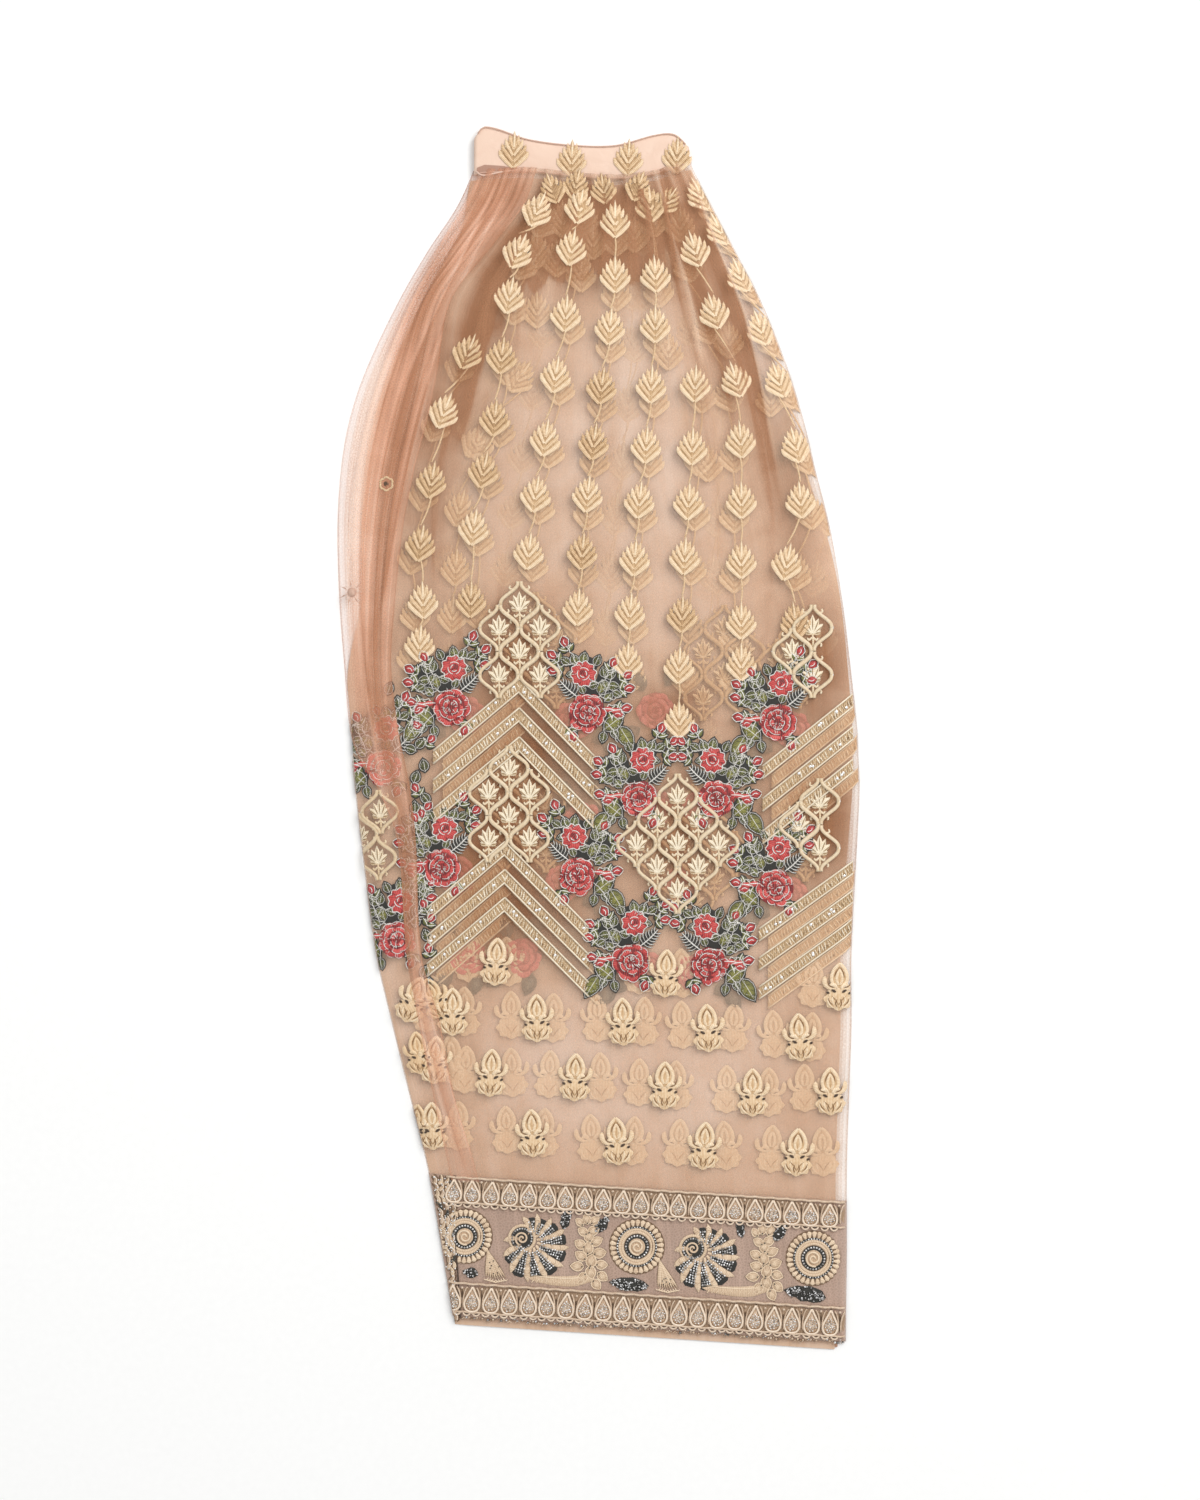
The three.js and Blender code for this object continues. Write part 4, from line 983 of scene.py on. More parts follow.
@dataclass(frozen=True)
class OpenBud:
    """A half-open rose: five pointed petals round a curled middle."""

    radius: float = 10.0

    def work(self, bench: Needlework, place: Place, thread: Finish = ROSE,
            edging: Finish = SILVER) -> None:
        """Works the flower at its place."""
        size = self.radius / 10
        bench.dome(place, ring(self.radius * 0.9, 14), 0.6, thread, 0.05)
        for k in range(5):
            petal = place.at(0, 0, 72 * k)
            outline = np.array(((0, 1), (4.4, 3.4), (5.6, 7), (3.4, 10), (0, 9), (-3.4, 10),
                (-5.6, 7), (-4.4, 3.4)))
            bench.dome(petal, outline * size, 1.0, thread, 0.5, 0.4, -0.2)
            rim = smooth(((-5.4, 6.4), (-3.4, 9.8), (0, 8.8), (3.4, 9.8), (5.4, 6.4)), 11) * size
            bench.stroke(petal, rim, 0.8, 0.5, edging, 0.6, EVEN, 1.1)
            bench.stroke(petal, smooth(((4.6, 3), (5.6, 6), (5.2, 8)), 5) * size, 0.9, 0.2, thread,
                0.0, POINTED, 1.2)
        bench.dome(place, ring(4.6, 12), 0.8, thread, 0.1, 1.0)
        for k, angle in enumerate((20, 150, 265, 80, 210)):
            reach = 4.4 if k < 3 else 2.0
            bench.stroke(place, arc(reach, angle, 125, 7), 2.6, 1.0, thread, 0.5, POINTED, 1.2)
            bench.stroke(place, arc(reach + 0.9, angle + 10, 90, 6), 0.7, 0.4, edging, 0.65, EVEN,
                2.0)


@dataclass(frozen=True)
class SilverLeaf:
    """A green leaf on a dark ground, outlined and veined in silver purl."""

    length: float = 11.0
    width: float = 7.8
    ground: float = 1.32

    def work(self, bench: Needlework, place: Place, thread: Finish = SAGE, tone: float = 0.5,
            edging: Finish = SILVER, ground: Finish = CHARCOAL) -> None:
        """Works the leaf at its place."""
        outline = leaf_outline(self.length, self.width, 10)
        bench.dome(place, outline * self.ground, 0.5, ground, 0.05)
        bench.dome(place, outline * 0.88, 0.7, thread, tone, 0.4, -0.4, 90)
        for half in (outline[:6], np.vstack((outline[5:], outline[:1]))):
            bench.stroke(place, half, 0.5, 0.5, edging, 0.5, EVEN, 0.6)
        vein = smooth(((0, -0.62 * self.length), (0.4, 0), (0, 0.42 * self.length)), 4)
        bench.stroke(place, vein, 0.65, 0.5, edging, 0.5, POINTED, 1.0)
        for share in (-0.22, 0.02, 0.24):
            for way in (-1, 1):
                foot = share * self.length
                line = np.array(((0, foot), (0.16 * way * self.width, foot + 1.0),
                    (0.3 * way * self.width, foot + 2.4)))
                bench.stroke(place, line, 0.7, 0.3, thread, -0.4, EVEN, 1.0)
        for k in range(int(self.length * 0.7)):
            share = (k * 0.618) % 1
            spread = 0.36 * self.width * math.sin(math.pi * share) * math.cos(2.4 * k)
            bench.bead(place, spread, self.length * (share - 0.5), 0.36, edging, 0.7, 0.9)


@dataclass(frozen=True)
class Berry:
    """A small round bud: red, ringed with silver, with three silver sepals."""

    radius: float = 2.5

    def work(self, bench: Needlework, place: Place, thread: Finish = ROSE, edging: Finish = SILVER,
            ground: Finish = CHARCOAL) -> None:
        """Works the bud at its place."""
        outline = leaf_outline(self.radius * 4.0, self.radius * 3.4, 10)
        bench.dome(place, outline, 0.4, ground, 0.1)
        for way in (-1, 1):
            sepal = place.at(2.8 * way, -4.2, -58 * way)
            bench.dome(sepal, leaf_outline(8.8, 6.4, 8), 0.3, ground, 0.05)
            bench.dome(sepal, leaf_outline(6.6, 4.2, 8), 0.6, SAGE, 0.5, 0.3, -0.3)
            bench.stroke(sepal, smooth(((0, -3.6), (0.5, 0), (0, 3.4)), 4), 0.7, 0.4, edging, 0.6,
                EVEN, 0.8)
        bench.dome(place.at(0, 0.8), leaf_outline(8.0, 6.0, 8), 1.1, thread, 0.4, 0.6, -0.2)
        for way in (-1, 1):
            rim = smooth(((0.4 * way, 5.4), (3.4 * way, 1.8), (1.4 * way, -3.0)), 5)
            bench.stroke(place, rim, 0.65, 0.5, edging, 0.55, EVEN, 0.8)
            line = smooth(((0, -2.4), (2.4 * way, -3.2), (4.0 * way, -1.4)), 4)
            bench.stroke(place, line, 0.8, 0.5, edging, 0.5, POINTED, 0.6)
        bench.stroke(place, smooth(((-0.4, -1.6), (0.8, 0.6), (-0.2, 2.6)), 4), 0.6, 0.4, edging,
            0.7, EVEN, 1.6)


@dataclass(frozen=True)
class Frond:
    """A fern of curled silver strokes on a dark ground."""

    def work(self, bench: Needlework, place: Place, edging: Finish = SILVER,
            ground: Finish = CHARCOAL) -> None:
        """Works the frond at its place, from its foot upwards."""
        bench.dome(place.at(0, 8), leaf_outline(21, 11, 10), 0.3, ground, 0.35)
        bench.stroke(place, smooth(((0, -2), (0.6, 8), (-0.3, 19)), 6), 1.1, 0.5, edging, 0.5, EVEN,
            0.5)
        for k in range(6):
            foot = 1 + 2.8 * k
            reach = 8.2 - 0.85 * k
            for way in (-1, 1):
                line = smooth(((0, foot), (0.6 * reach * way, foot + 1.2),
                    (reach * way, foot + 4.2)), 5)
                bench.stroke(place, line, 1.9, 0.3, ground, 0.3, CLUB, 0.2)
                bench.stroke(place, line, 0.85, 0.6, edging, 0.45 + 0.06 * (k % 2), CLUB, 0.5)


@dataclass(frozen=True)
class Bouquet:
    """A spray about one full rose, as wide as two hands, that leans to one side.

    Its rows give what grows where: x, y, the direction of growth in degrees from straight
    up, and the size.
    """

    x: float
    y: float
    lean: float
    berries: Sequence[Row] = ((19, 60, -20), (29.5, 49, -50), (28.5, 36, -80), (-22.5, 42.5, 30),
        (-34.5, 32, 60), (-35.5, 21, 80), (-33, 4, 80), (-26, -1, 100), (12, -19.5, 160))
    leaves: Sequence[Row] = ((2.6, 47, 10, 1.0), (10.5, 45.5, -25, 1.0), (18.5, 44.5, -55, 0.9),
        (-9, 45, 25, 0.9), (-20.5, 33, 60, 1.0), (-14.5, 35, -10, 0.9), (-23, 23, 100, 1.0),
        (-15.5, 24, -30, 1.0), (-26, 16, 120, 0.8), (-18.5, 13.5, 40, 0.9), (-6, 24, 70, 0.9),
        (4, 20.5, -20, 0.8), (13.5, 33, -100, 0.8), (-24, -18, 150, 0.9), (-14, -21, 190, 0.9))
    olive: Sequence[Row] = ((-23, -8.5, 52, 1.0), (-33.5, -21, 148, 1.05), (-12.5, 22, 15, 0.6))
    grounds: Sequence[Row] = ((3, 41, 13, 8), (-19, 27, 11, 12), (-7, 21, 13, 8), (-22, -8, 10, 8),
        (-30, -20, 7, 6))
    stems: Sequence[Line] = (((0, 30), (-12, 26), (-22, 36), (-34, 31)),
        ((0, 14), (-12, 14), (-20, 26), (-22, 40)), ((4, 40), (14, 42), (24, 40), (28, 47)),
        ((-14, 4), (-22, 7), (-30, 3)), ((-10, 14), (-24, 12), (-34, 19)),
        ((8, 42), (14, 52), (18, 58)), ((-14, -6), (-22, -14), (-26, -26)))

    def work(self, bench: Needlework, seed: int, relief: float = 1.0) -> None:
        """Works the bouquet on its cloth."""
        place = Place(self.x, self.y, 0, 1, self.lean)
        for x, y, across, up in self.grounds:
            bench.dome(place.at(x, y), ring(1.0, 12) * (across, up), 0.25, CHARCOAL, 0.2)
        for x, y, angle, size in self.leaves:
            SilverLeaf().work(bench, place.at(x, y, angle, size), SAGE, 0.4 + 0.1 * (x % 3))
        for x, y, angle, size in self.olive:
            SilverLeaf(22, 12.5, 1.15).work(bench, place.at(x, y, angle, size), OLIVE, 0.5)
        Frond().work(bench, place.at(9.5, 15, -48))
        for line in self.stems:
            curve = smooth(line, 15)
            curve = curve + 0.9 * np.column_stack((np.sin(curve[:, 1]), np.cos(curve[:, 0])))
            bench.stroke(place, curve, 0.8, 0.5, SILVER, 0.45, EVEN, 1.1)
        for x, y, angle in self.berries:
            Berry().work(bench, place.at(x, y, angle, 1.2))
        for x, y, angle in ((-19, 3, 95), (-25, 2, 80)):
            petal = place.at(x, y, angle)
            bench.dome(petal, leaf_outline(10, 5, 8), 1.0, ROSE, 0.5, 1.0)
            bench.stroke(petal, smooth(((0, -6), (0.4, 0), (0, 5.5)), 4), 0.9, 0.5, SILVER, 0.6,
                EVEN, 1.9)
        OpenBud(11.2).work(bench, place.at(3, 33.5, 10 * (seed % 5)))
        Rose().work(bench, place, seed, relief=relief)


@dataclass(frozen=True)
class Disc:
    """A round flower: rings of beige floss and beads round a coiled middle."""

    radius: float = 23.5

    def work(self, bench: Needlework, place: Place, seed: int) -> None:
        """Works the disc at its place."""
        draw = random.Random(seed)
        r = self.radius
        bench.dome(place, ring(r * 1.03, 32), 0.4, ANTIQUE, 0.05)
        petals = 30
        for k in range(petals):
            petal = place.at(0, 0, 360 * k / petals)
            line = np.array(((0, 0.74 * r), (0.1, 0.85 * r), (0.2, 0.94 * r), (0, r)))
            bench.stroke(petal, line, 4.6, 1.0, BEIGE, draw.uniform(0.55, 0.85), CLUB, 0.3)
        bench.stroke(place, arc(0.71 * r, 0, 360, 41), 2.2, 0.3, CHARCOAL, 0.2, EVEN, 0.5)
        for reach in (0.63 * r, 0.53 * r):
            bench.stroke(place, arc(reach, 0, 360, 41), 2.7, 1.2, BEIGE, 0.62, EVEN, 0.4)
        bench.dome(place, ring(0.46 * r, 20), 0.7, CHARCOAL, 0.2, 0.5)
        for reach, count, radius in ((0.71 * r, 44, 0.85), (0.4 * r, 24, 1.0)):
            for k in range(count):
                angle = 2 * math.pi * k / count
                bench.bead(place, reach * math.cos(angle), reach * math.sin(angle), radius,
                    STEEL_BEAD, draw.uniform(0.4, 1.0), 0.6)
        bench.dome(place, ring(0.34 * r, 16), 0.9, BEIGE, 0.4, 0.8)
        middle = coil(np.linspace(0, 3.6 * math.pi, 30), 0.05, 0.022) * r
        bench.cord(place, middle, 0.95, BEIGE, 0.85, 1.2)


@dataclass(frozen=True)
class Palmette:
    """A fan of long curved petals that springs from a coil, with beads between the petals."""

    petals: Sequence[Row] = ((22, 23, 6.5), (-8, 25, 6), (-37, 27, 6.5), (-66, 31, 7), (-95, 33, 7),
        (-124, 35, 7.5), (-153, 34, 7.5), (-182, 35, 7.5), (-211, 32, 7.5), (-240, 27, 7),
        (-269, 24, 6.5))
    wedges: Sequence[Row] = ((7, 20), (-22, 21), (-51, 25), (-80, 29), (-109, 31), (-138, 32),
        (-167, 32), (-196, 31), (-225, 26))

    def work(self, bench: Needlework, place: Place, seed: int) -> None:
        """Works the palmette at its place."""
        draw = random.Random(seed)
        heart = place.at(-1, 3)
        for angle, reach in self.wedges:
            wedge = heart.at(0, 0, angle)
            outline = np.array(((3.4, 7), (2.5 + 0.2 * reach, reach - 2),
                (2 + 0.1 * reach, reach + 1), (2 - 0.1 * reach, reach + 1),
                (1.5 - 0.2 * reach, reach - 2), (1.0, 7)))
            bench.dome(wedge, outline, 0.4, CHARCOAL, 0.2)
            for row in range(int((reach - 9) / 2.1)):
                y = 9 + 2.1 * row
                half = 0.13 * y
                for x in np.arange(-half, half + 0.1, 2.2):
                    bench.bead(wedge, x + 2 + draw.uniform(-0.4, 0.4), y, 0.95, STEEL_BEAD,
                        draw.uniform(0.4, 1.2), 0.7)
        for angle, reach, width in self.petals:
            petal = heart.at(0, 0, angle)
            bow = draw.uniform(2.0, 3.2)
            width *= 0.8
            line = smooth(((0, 5), (0.7 * bow, 0.4 * reach), (bow, 0.7 * reach),
                (0.2 * bow, reach)), 9)
            bench.stroke(petal, line, width + 1.0, 0.6, ANTIQUE, 0.2, CLUB, 0.2)
            bench.stroke(petal, line, width, 1.2, BEIGE, draw.uniform(0.5, 0.7), CLUB, 0.5)
            for k in range(2, 8):
                rung = line[k] + np.array(((-0.36 * width, -0.8), (0, 0.5), (0.36 * width, -0.8)))
                bench.stroke(petal, rung, 0.9, 0.3, BEIGE, 0.9 if k % 2 else 0.3, EVEN, 1.4)
        hub = place.at(-9, 6)
        bench.dome(hub, ring(10, 16), 0.7, CHARCOAL, 0.3, 0.6)
        for k in range(24):
            angle = 2 * math.pi * k / 24
            bench.bead(hub, 8.4 * math.cos(angle), 8.4 * math.sin(angle), 0.95, STEEL_BEAD,
                draw.uniform(0.3, 0.9), 0.8)
        bench.stroke(hub, arc(11, -80, 300, 18), 2.6, 1.0, BEIGE, 0.6, EVEN, 0.8)
        middle = coil(np.linspace(0, 3.4 * math.pi, 26), 0.8, 0.5)
        bench.cord(hub, middle, 0.9, BEIGE, 0.65, 1.0)


@dataclass(frozen=True)
class Shrub:
    """A bush of ruffled leaves in beige floss, with one long leaf low at its foot."""

    lobes: Sequence[Row] = ((-2, 27, 0, 10, 7), (5, 26, -35, 10, 7), (-8, 24, 45, 9, 6),
        (4, 17, -70, 11, 8), (-5, 16, 60, 10, 7), (0, 12, 10, 11, 8), (7, 8, -60, 12, 8),
        (-7, 5, 70, 11, 8), (0, 2, 0, 12, 9), (10, -2, -80, 12, 9), (-6, -5, 60, 12, 8),
        (3, -9, -20, 12, 9), (12, -12, -100, 11, 8), (-9, -14, 80, 12, 8), (3, -19, -160, 12, 9),
        (13, -22, -120, 11, 8), (-4, -24, 150, 12, 8), (8, -29, -150, 11, 8))

    def work(self, bench: Needlework, place: Place, seed: int) -> None:
        """Works the shrub at its place."""
        draw = random.Random(seed)
        leaf = smooth(((6, -23), (-12, -27), (-32, -27), (-52, -25)), 12)
        bench.stroke(place, leaf, 9.5, 1.1, BEIGE, 0.5, LEAF, 0.2)
        bench.stroke(place, leaf + (0, 2.6), 1.3, 0.6, BEIGE, 0.85, POINTED, 0.9)
        for k in range(12):
            x = -2 - 3.9 * k
            line = np.array(((x, -25.5), (x - 1.5, -27.5), (x - 3, -29.4)))
            bench.stroke(place, line, 1.1, 0.5, BEIGE, 0.7, EVEN, 1.1)
        for x, y, angle, length, width in self.lobes:
            lobe = place.at(x, y, angle + draw.uniform(-12, 12))
            outline = leaf_outline(length, width, 10)
            bench.dome(lobe, outline * 1.16, 0.3, ANTIQUE, 0.0, 0.15)
            bench.dome(lobe, outline, 1.2, BEIGE, 0.5, 0.3, -0.3)
            for half in (outline[:6], np.vstack((outline[5:], outline[:1]))):
                bench.stroke(lobe, half, 1.1, 0.5, BEIGE, draw.uniform(0.65, 0.9), EVEN, 0.6)
            for way in (-1, 0, 1):
                line = np.array(((0, -0.3 * length), (0.16 * way * width, 0),
                    (0.26 * way * width, 0.3 * length)))
                bench.stroke(lobe, line, 1.0, 0.4, BEIGE, 0.8, POINTED, 1.2)
            bench.bead(lobe, 0, -0.35 * length, 0.7, CHARCOAL, 0.3, 1.4)


@dataclass(frozen=True)
class Tuft:
    """A stem that opens downwards into a fan of floss."""

    def work(self, bench: Needlework, place: Place, seed: int) -> None:
        """Works the tuft at its place."""
        draw = random.Random(seed)
        for k in range(9):
            share = (k - 4) / 4
            line = smooth(((-5, 13), (-2 + 3 * share, 4), (3 + 8.5 * share, -13 + 2 * abs(share))),
                7)
            bench.stroke(place, line, 3.4, 0.8, ANTIQUE, 0.0, CLUB, 0.1)
            bench.stroke(place, line, 2.3, 1.0, BEIGE, draw.uniform(0.45, 0.8), CLUB, 0.5)
            tip = place.at(3 + 8.5 * share, -13 + 2 * abs(share), -20 * share)
            bench.stroke(tip, arc(2.0, 190, 160, 5), 1.0, 0.5, BEIGE, 0.85, EVEN, 0.9)
        for k in range(7):
            bench.bead(place, draw.uniform(-3, 6), draw.uniform(-8, 4), 0.6, CHARCOAL, 0.3, 1.0)


@dataclass(frozen=True)
class BeadPatch:
    """A leaf-shaped patch of steel beads on charcoal floss."""

    length: float
    width: float

    def work(self, bench: Needlework, place: Place, seed: int) -> None:
        """Works the patch at its place."""
        draw = random.Random(seed)
        outline = leaf_outline(self.length, self.width, 14)
        outline += np.array([[draw.uniform(-0.8, 0.8) for _ in range(2)] for _ in outline])
        bench.dome(place, outline, 0.4, CHARCOAL, 0.35)
        count = int(self.length * self.width * 0.22)
        for _ in range(count):
            share = draw.uniform(0.06, 0.94)
            half = 0.46 * self.width * math.sin(math.pi * share) ** 0.8
            bench.bead(place, draw.uniform(-half, half), self.length * (share - 0.5),
                draw.uniform(0.7, 1.05), STEEL_BEAD, draw.uniform(0.15, 0.95), 0.4)


@dataclass(frozen=True)
class Trim:
    """A row of teardrops in antique cord, under a straight cord and over a looped one."""

    name: str
    top: float
    foot: float
    drop_height: float
    pitch: float = 16.2
    left: float = -131.0
    right: float = 212.0

    def work(self, bench: Needlework, seed: int) -> None:
        """Works the trim along the hem."""
        draw = random.Random(seed)
        middle = 0.5 * (self.top + self.foot)
        turn = math.atan(HEM_SLOPE)
        count = int((self.right - self.left) / self.pitch)
        xs = np.linspace(self.left, self.right, 60)
        strip = np.column_stack((xs, hem_line(middle, xs)))
        bench.stroke(Place(), strip, self.top - self.foot - 1.5, 0.3, BEIGE, 0.05, EVEN, 0.1)
        for row, radius in ((self.top + 0.6, 1.1), (self.foot + 1.0, 1.0)):
            xs = np.linspace(self.left, self.right, 90)
            wave = 0.35 * np.sin(xs / 2.1)
            line = np.column_stack((xs, hem_line(row, xs) + wave))
            bench.cord(Place(), line, radius, ANTIQUE, 0.7, 0.6)
        for k in range(count + 1):
            x = self.left + 6 + k * self.pitch + draw.uniform(-0.8, 0.8)
            if x > self.right - 4:
                break
            place = Place(x, hem_line(middle, x), turn + draw.uniform(-0.06, 0.06))
            half = self.drop_height / 2
            outline = np.array([(0, half), (2.9, 0.45 * half), (6.2, -0.2 * half),
                (5.8, -0.7 * half), (2.8, -0.97 * half), (-2.8, -0.97 * half), (-5.8, -0.7 * half),
                (-6.2, -0.2 * half), (-2.9, 0.45 * half)])
            # A dark brown ring round each drop: painted shade.
            bench.dome(place, outline * 1.16, 0.4, SHADE_BROWN, 0.9, 0.4)
            bench.dome(place, outline, 1.6, ANTIQUE, 0.75, 0.5, -0.45)
            loop = smooth(np.vstack((outline, outline[:1])), 22)
            bench.cord(place, loop, 1.05, ANTIQUE, 0.95, 0.7)
            for k in range(30):
                share = (k + 0.5) / 30
                reach = 0.86 * math.sqrt(share)
                x, y = reach * math.cos(2.4 * k) * 5.6, reach * math.sin(2.4 * k) * 0.72 * half
                if y < 0.72 * half - 1.5 * abs(x):
                    bench.bead(place, x, y - 0.2 * half, draw.uniform(0.5, 0.85),
                        SILVER if k % 3 else STEEL_BEAD, draw.uniform(0.3, 1.0), 1.7)
            # A dark brown stroke between the drops: painted shade.
            gap = place.at(0.5 * self.pitch, 0)
            bench.stroke(gap, np.array(((0, 0.9 * half), (0, 0), (0, -0.7 * half))), 3.4, 0.3,
                SHADE_BROWN, 0.7, POINTED, 0.2)
            for way in (-1, 1):
                line = smooth(((4.6 * way, 0.92 * half), (2.6 * way, 0.6 * half),
                    (1.1 * way, -0.1 * half), (1.3 * way, -0.75 * half)), 9)
                bench.cord(gap, line, 0.8, ANTIQUE, 0.7, 0.5, 4)
            bench.bead(gap, 0, 0.84 * half, 1.2, ANTIQUE, 0.9, 0.6)
            for across in (-0.25, 0.25):
                low = place.at(across * self.pitch, -half - 0.4)
                bench.cord(low, arc(3.1, 190, 160, 8), 0.85, ANTIQUE, 0.8, 0.6)
                bench.bead(low, 0, -1.2, 0.75, CHARCOAL, 0.4, 0.8)


BORDER_ROW = ((Disc(), -115.0, 6.0), (Palmette(), -57.0, 2.0), (Shrub(), -9.0, 1.0),
    (Disc(), 33.0, 7.0), (Palmette(), 90.0, 3.0), (Shrub(), 142.0, 2.0), (Disc(), 185.0, 7.0),
    (Tuft(), -91.0, -17.0), (Tuft(), 57.0, -16.0))
BEAD_PATCHES = ((BeadPatch(36, 12), 26.0, -26.0, 84.0), (BeadPatch(38, 14), 178.0, -24.0, 80.0),
    (BeadPatch(14, 9), -110.0, -25.0, 80.0), (BeadPatch(20, 9), -28.0, 27.0, -15.0),
    (BeadPatch(18, 10), 3.0, 24.0, -40.0), (BeadPatch(16, 8), 122.0, 28.0, 10.0),
    (BeadPatch(18, 10), 156.0, 27.0, -40.0))
BORDER_MIDDLE = -445.0


@dataclass(frozen=True)
class LeafString:
    """Leaves of one string, each by its place, with the turn of the stem between them."""

    leaves: Sequence[Row]
    dull: Sequence[int] = ()


LEAF_STRINGS = (LeafString(((-52, 451.5), (-68.4, 415.4), (-76.1, 377.5), (-83, 325.9),
    (-89, 272.6), (-98.5, 227.9), (-107.1, 178.9), (-109.7, 117)), (3, 4, 5, 7)),
    LeafString(((-111.4, 329.4), (-132, 278.6), (-143.2, 219.3), (-152.7, 165.1), (-150.9, 116.1),
    (-153.5, 79.1)), (0, 2, 3)), LeafString(((-15.9, 454.9), (-22.8, 418.8), (-28, 362.1),
    (-36.6, 309.6), (-45.5, 255.4), (-53.8, 207.3), (-59.8, 158.2))),
    LeafString(((14.2, 442.9), (14.2, 395.6), (9.9, 350.9), (2.8, 300.1), (-3.9, 252.3),
    (-9.3, 207.3), (-13.8, 158.2), (-17.6, 110.1)), (3, 4, 6)),
    LeafString(((44.3, 456.1), (48.6, 395.6), (48.6, 352.6), (45.2, 301), (40.9, 249.4),
    (35.2, 202.1), (31.2, 152.6), (27.1, 106.6), (24.9, 64.5)), (0,)),
    LeafString(((83, 301.9), (80.4, 247.9), (77.3, 200.8), (74, 153.9), (71.8, 104.1), (69.2, 60.2),
    (69.2, 13.8)), (4,)), LeafString(((82.1, 417.1), (98.5, 363.8), (117.4, 305.3), (121.7, 253.7),
    (122.6, 202.1), (122.6, 150.5), (122.6, 98.4), (122.6, 62.8))),
    LeafString(((87.3, 466), (103.6, 436), (121.7, 395.6), (138.9, 350), (154.4, 305.3),
    (169, 249.4), (173.3, 202.1), (162, 148.8), (169, 98.4)), (8,)))
GHOST_STRING = LeafString(((-66.7, 308.7), (-104.1, 252.8), (-119.1, 195.2), (-122.6, 144.5),
    (-125.6, 104.1)))
BELOW = ((5, -9), (-7, -11), (4, -10), (1, -15), (3, -12), (6, -9), (-6, -12), (9, -9))
WAIST_LEAVES = ((-40, 470, 20), (-19, 474, -14), (4, 470, 8), (34.6, 472, -20), (60, 460, -35))
GHOST_LEAVES = ((-53, 417), (-36, 410), (-15, 397), (-53, 366), (-103, 251), (-98, 228), (94, 234),
    (31, 431), (-31, 444), (70, 440), (112, 340), (60, 330), (-5, 425), (148, 290))
GHOST_ROSES = ((-112, -190.9), (-66, -190.9), (-14, -74), (49, 21), (72, -128))
GHOST_CELLS = ((108, 92), (90, 72), (126, 72), (108, 52), (90, 32), (126, 32))
SIDE_LEAVES = ((-160, 4, 20), (-153, -7, -40), (-162, -12, 70), (-150, -26, 10), (-157, -36, -20),
    (-149, -54, 40), (-158, -62, 0), (-164, -74, 60), (-152, -82, -30), (-160, -94, 20),
    (-166, -110, 80), (-154, -134, 0), (-149, -150, 30), (-157, -160, -10), (-148, -172, 20),
    (-150, -204, 160), (-146, -214, 175), (-172, 28, 10), (-180, 40, -20), (-196, 10, 30))
SIDE_BERRIES = ((-156, 8, 30), (-144, -4, -40), (-157, -46, 30), (-147, -62, -40), (-152, -68, 10),
    (-150, -146, 20), (-144, -158, -30), (-160, -120, 60), (-146, -184, 10), (-190, 20, 20))
BUDS = ((-88, -194.5), (58, -204.5), (207, -216), (-159, -227), (-125.5, -237.5), (-53, -243),
    (21, -246), (94, -251.5), (173, -259.5), (-140.5, -279), (-92.5, -290), (-20, -294), (57, -301),
    (132.5, -307), (199.5, -306), (-143, -336), (-57, -342), (16, -349), (91, -353), (171, -358.5))
BOUQUET_PLACES = ((-127, 24, 1), (-135, -114, 1), (-10, 19, -1), (-18, -121, -1), (35, -55, 1),
    (101, -55, -1), (28, -195, 1), (95, -198, -1), (154, 11, 1), (152, -131, 1), (-185, -28, 1),
    (-173, -176, 1))
LATTICES = (("lattice_left_upper", -68, 112, ((0,), (-1, 1), (0,), (-1, 1))),
    ("lattice_left_lower", -77, -29, ((0,), (-1, 1), (0,), (-1, 1))),
    ("lattice_centre", 68, -53, ((0,), (-1, 1), (-2, 0, 2), (-1, 1), (0,))),
    ("lattice_right_upper", 184, 92, ((0,), (-1,), (0,))), ("lattice_right_lower", 190, -57,
    ((0,), (-1,), (0,))))
STRIP_SETS = ((-68, 49, -25, 74, 62, 64, 66), (-80.5, -91, -24, 67, 57, 72, 73),
    (219, 36, -28, 78, 62, 0, 0), (219, -108, -25, 81, 58, 0, 0))


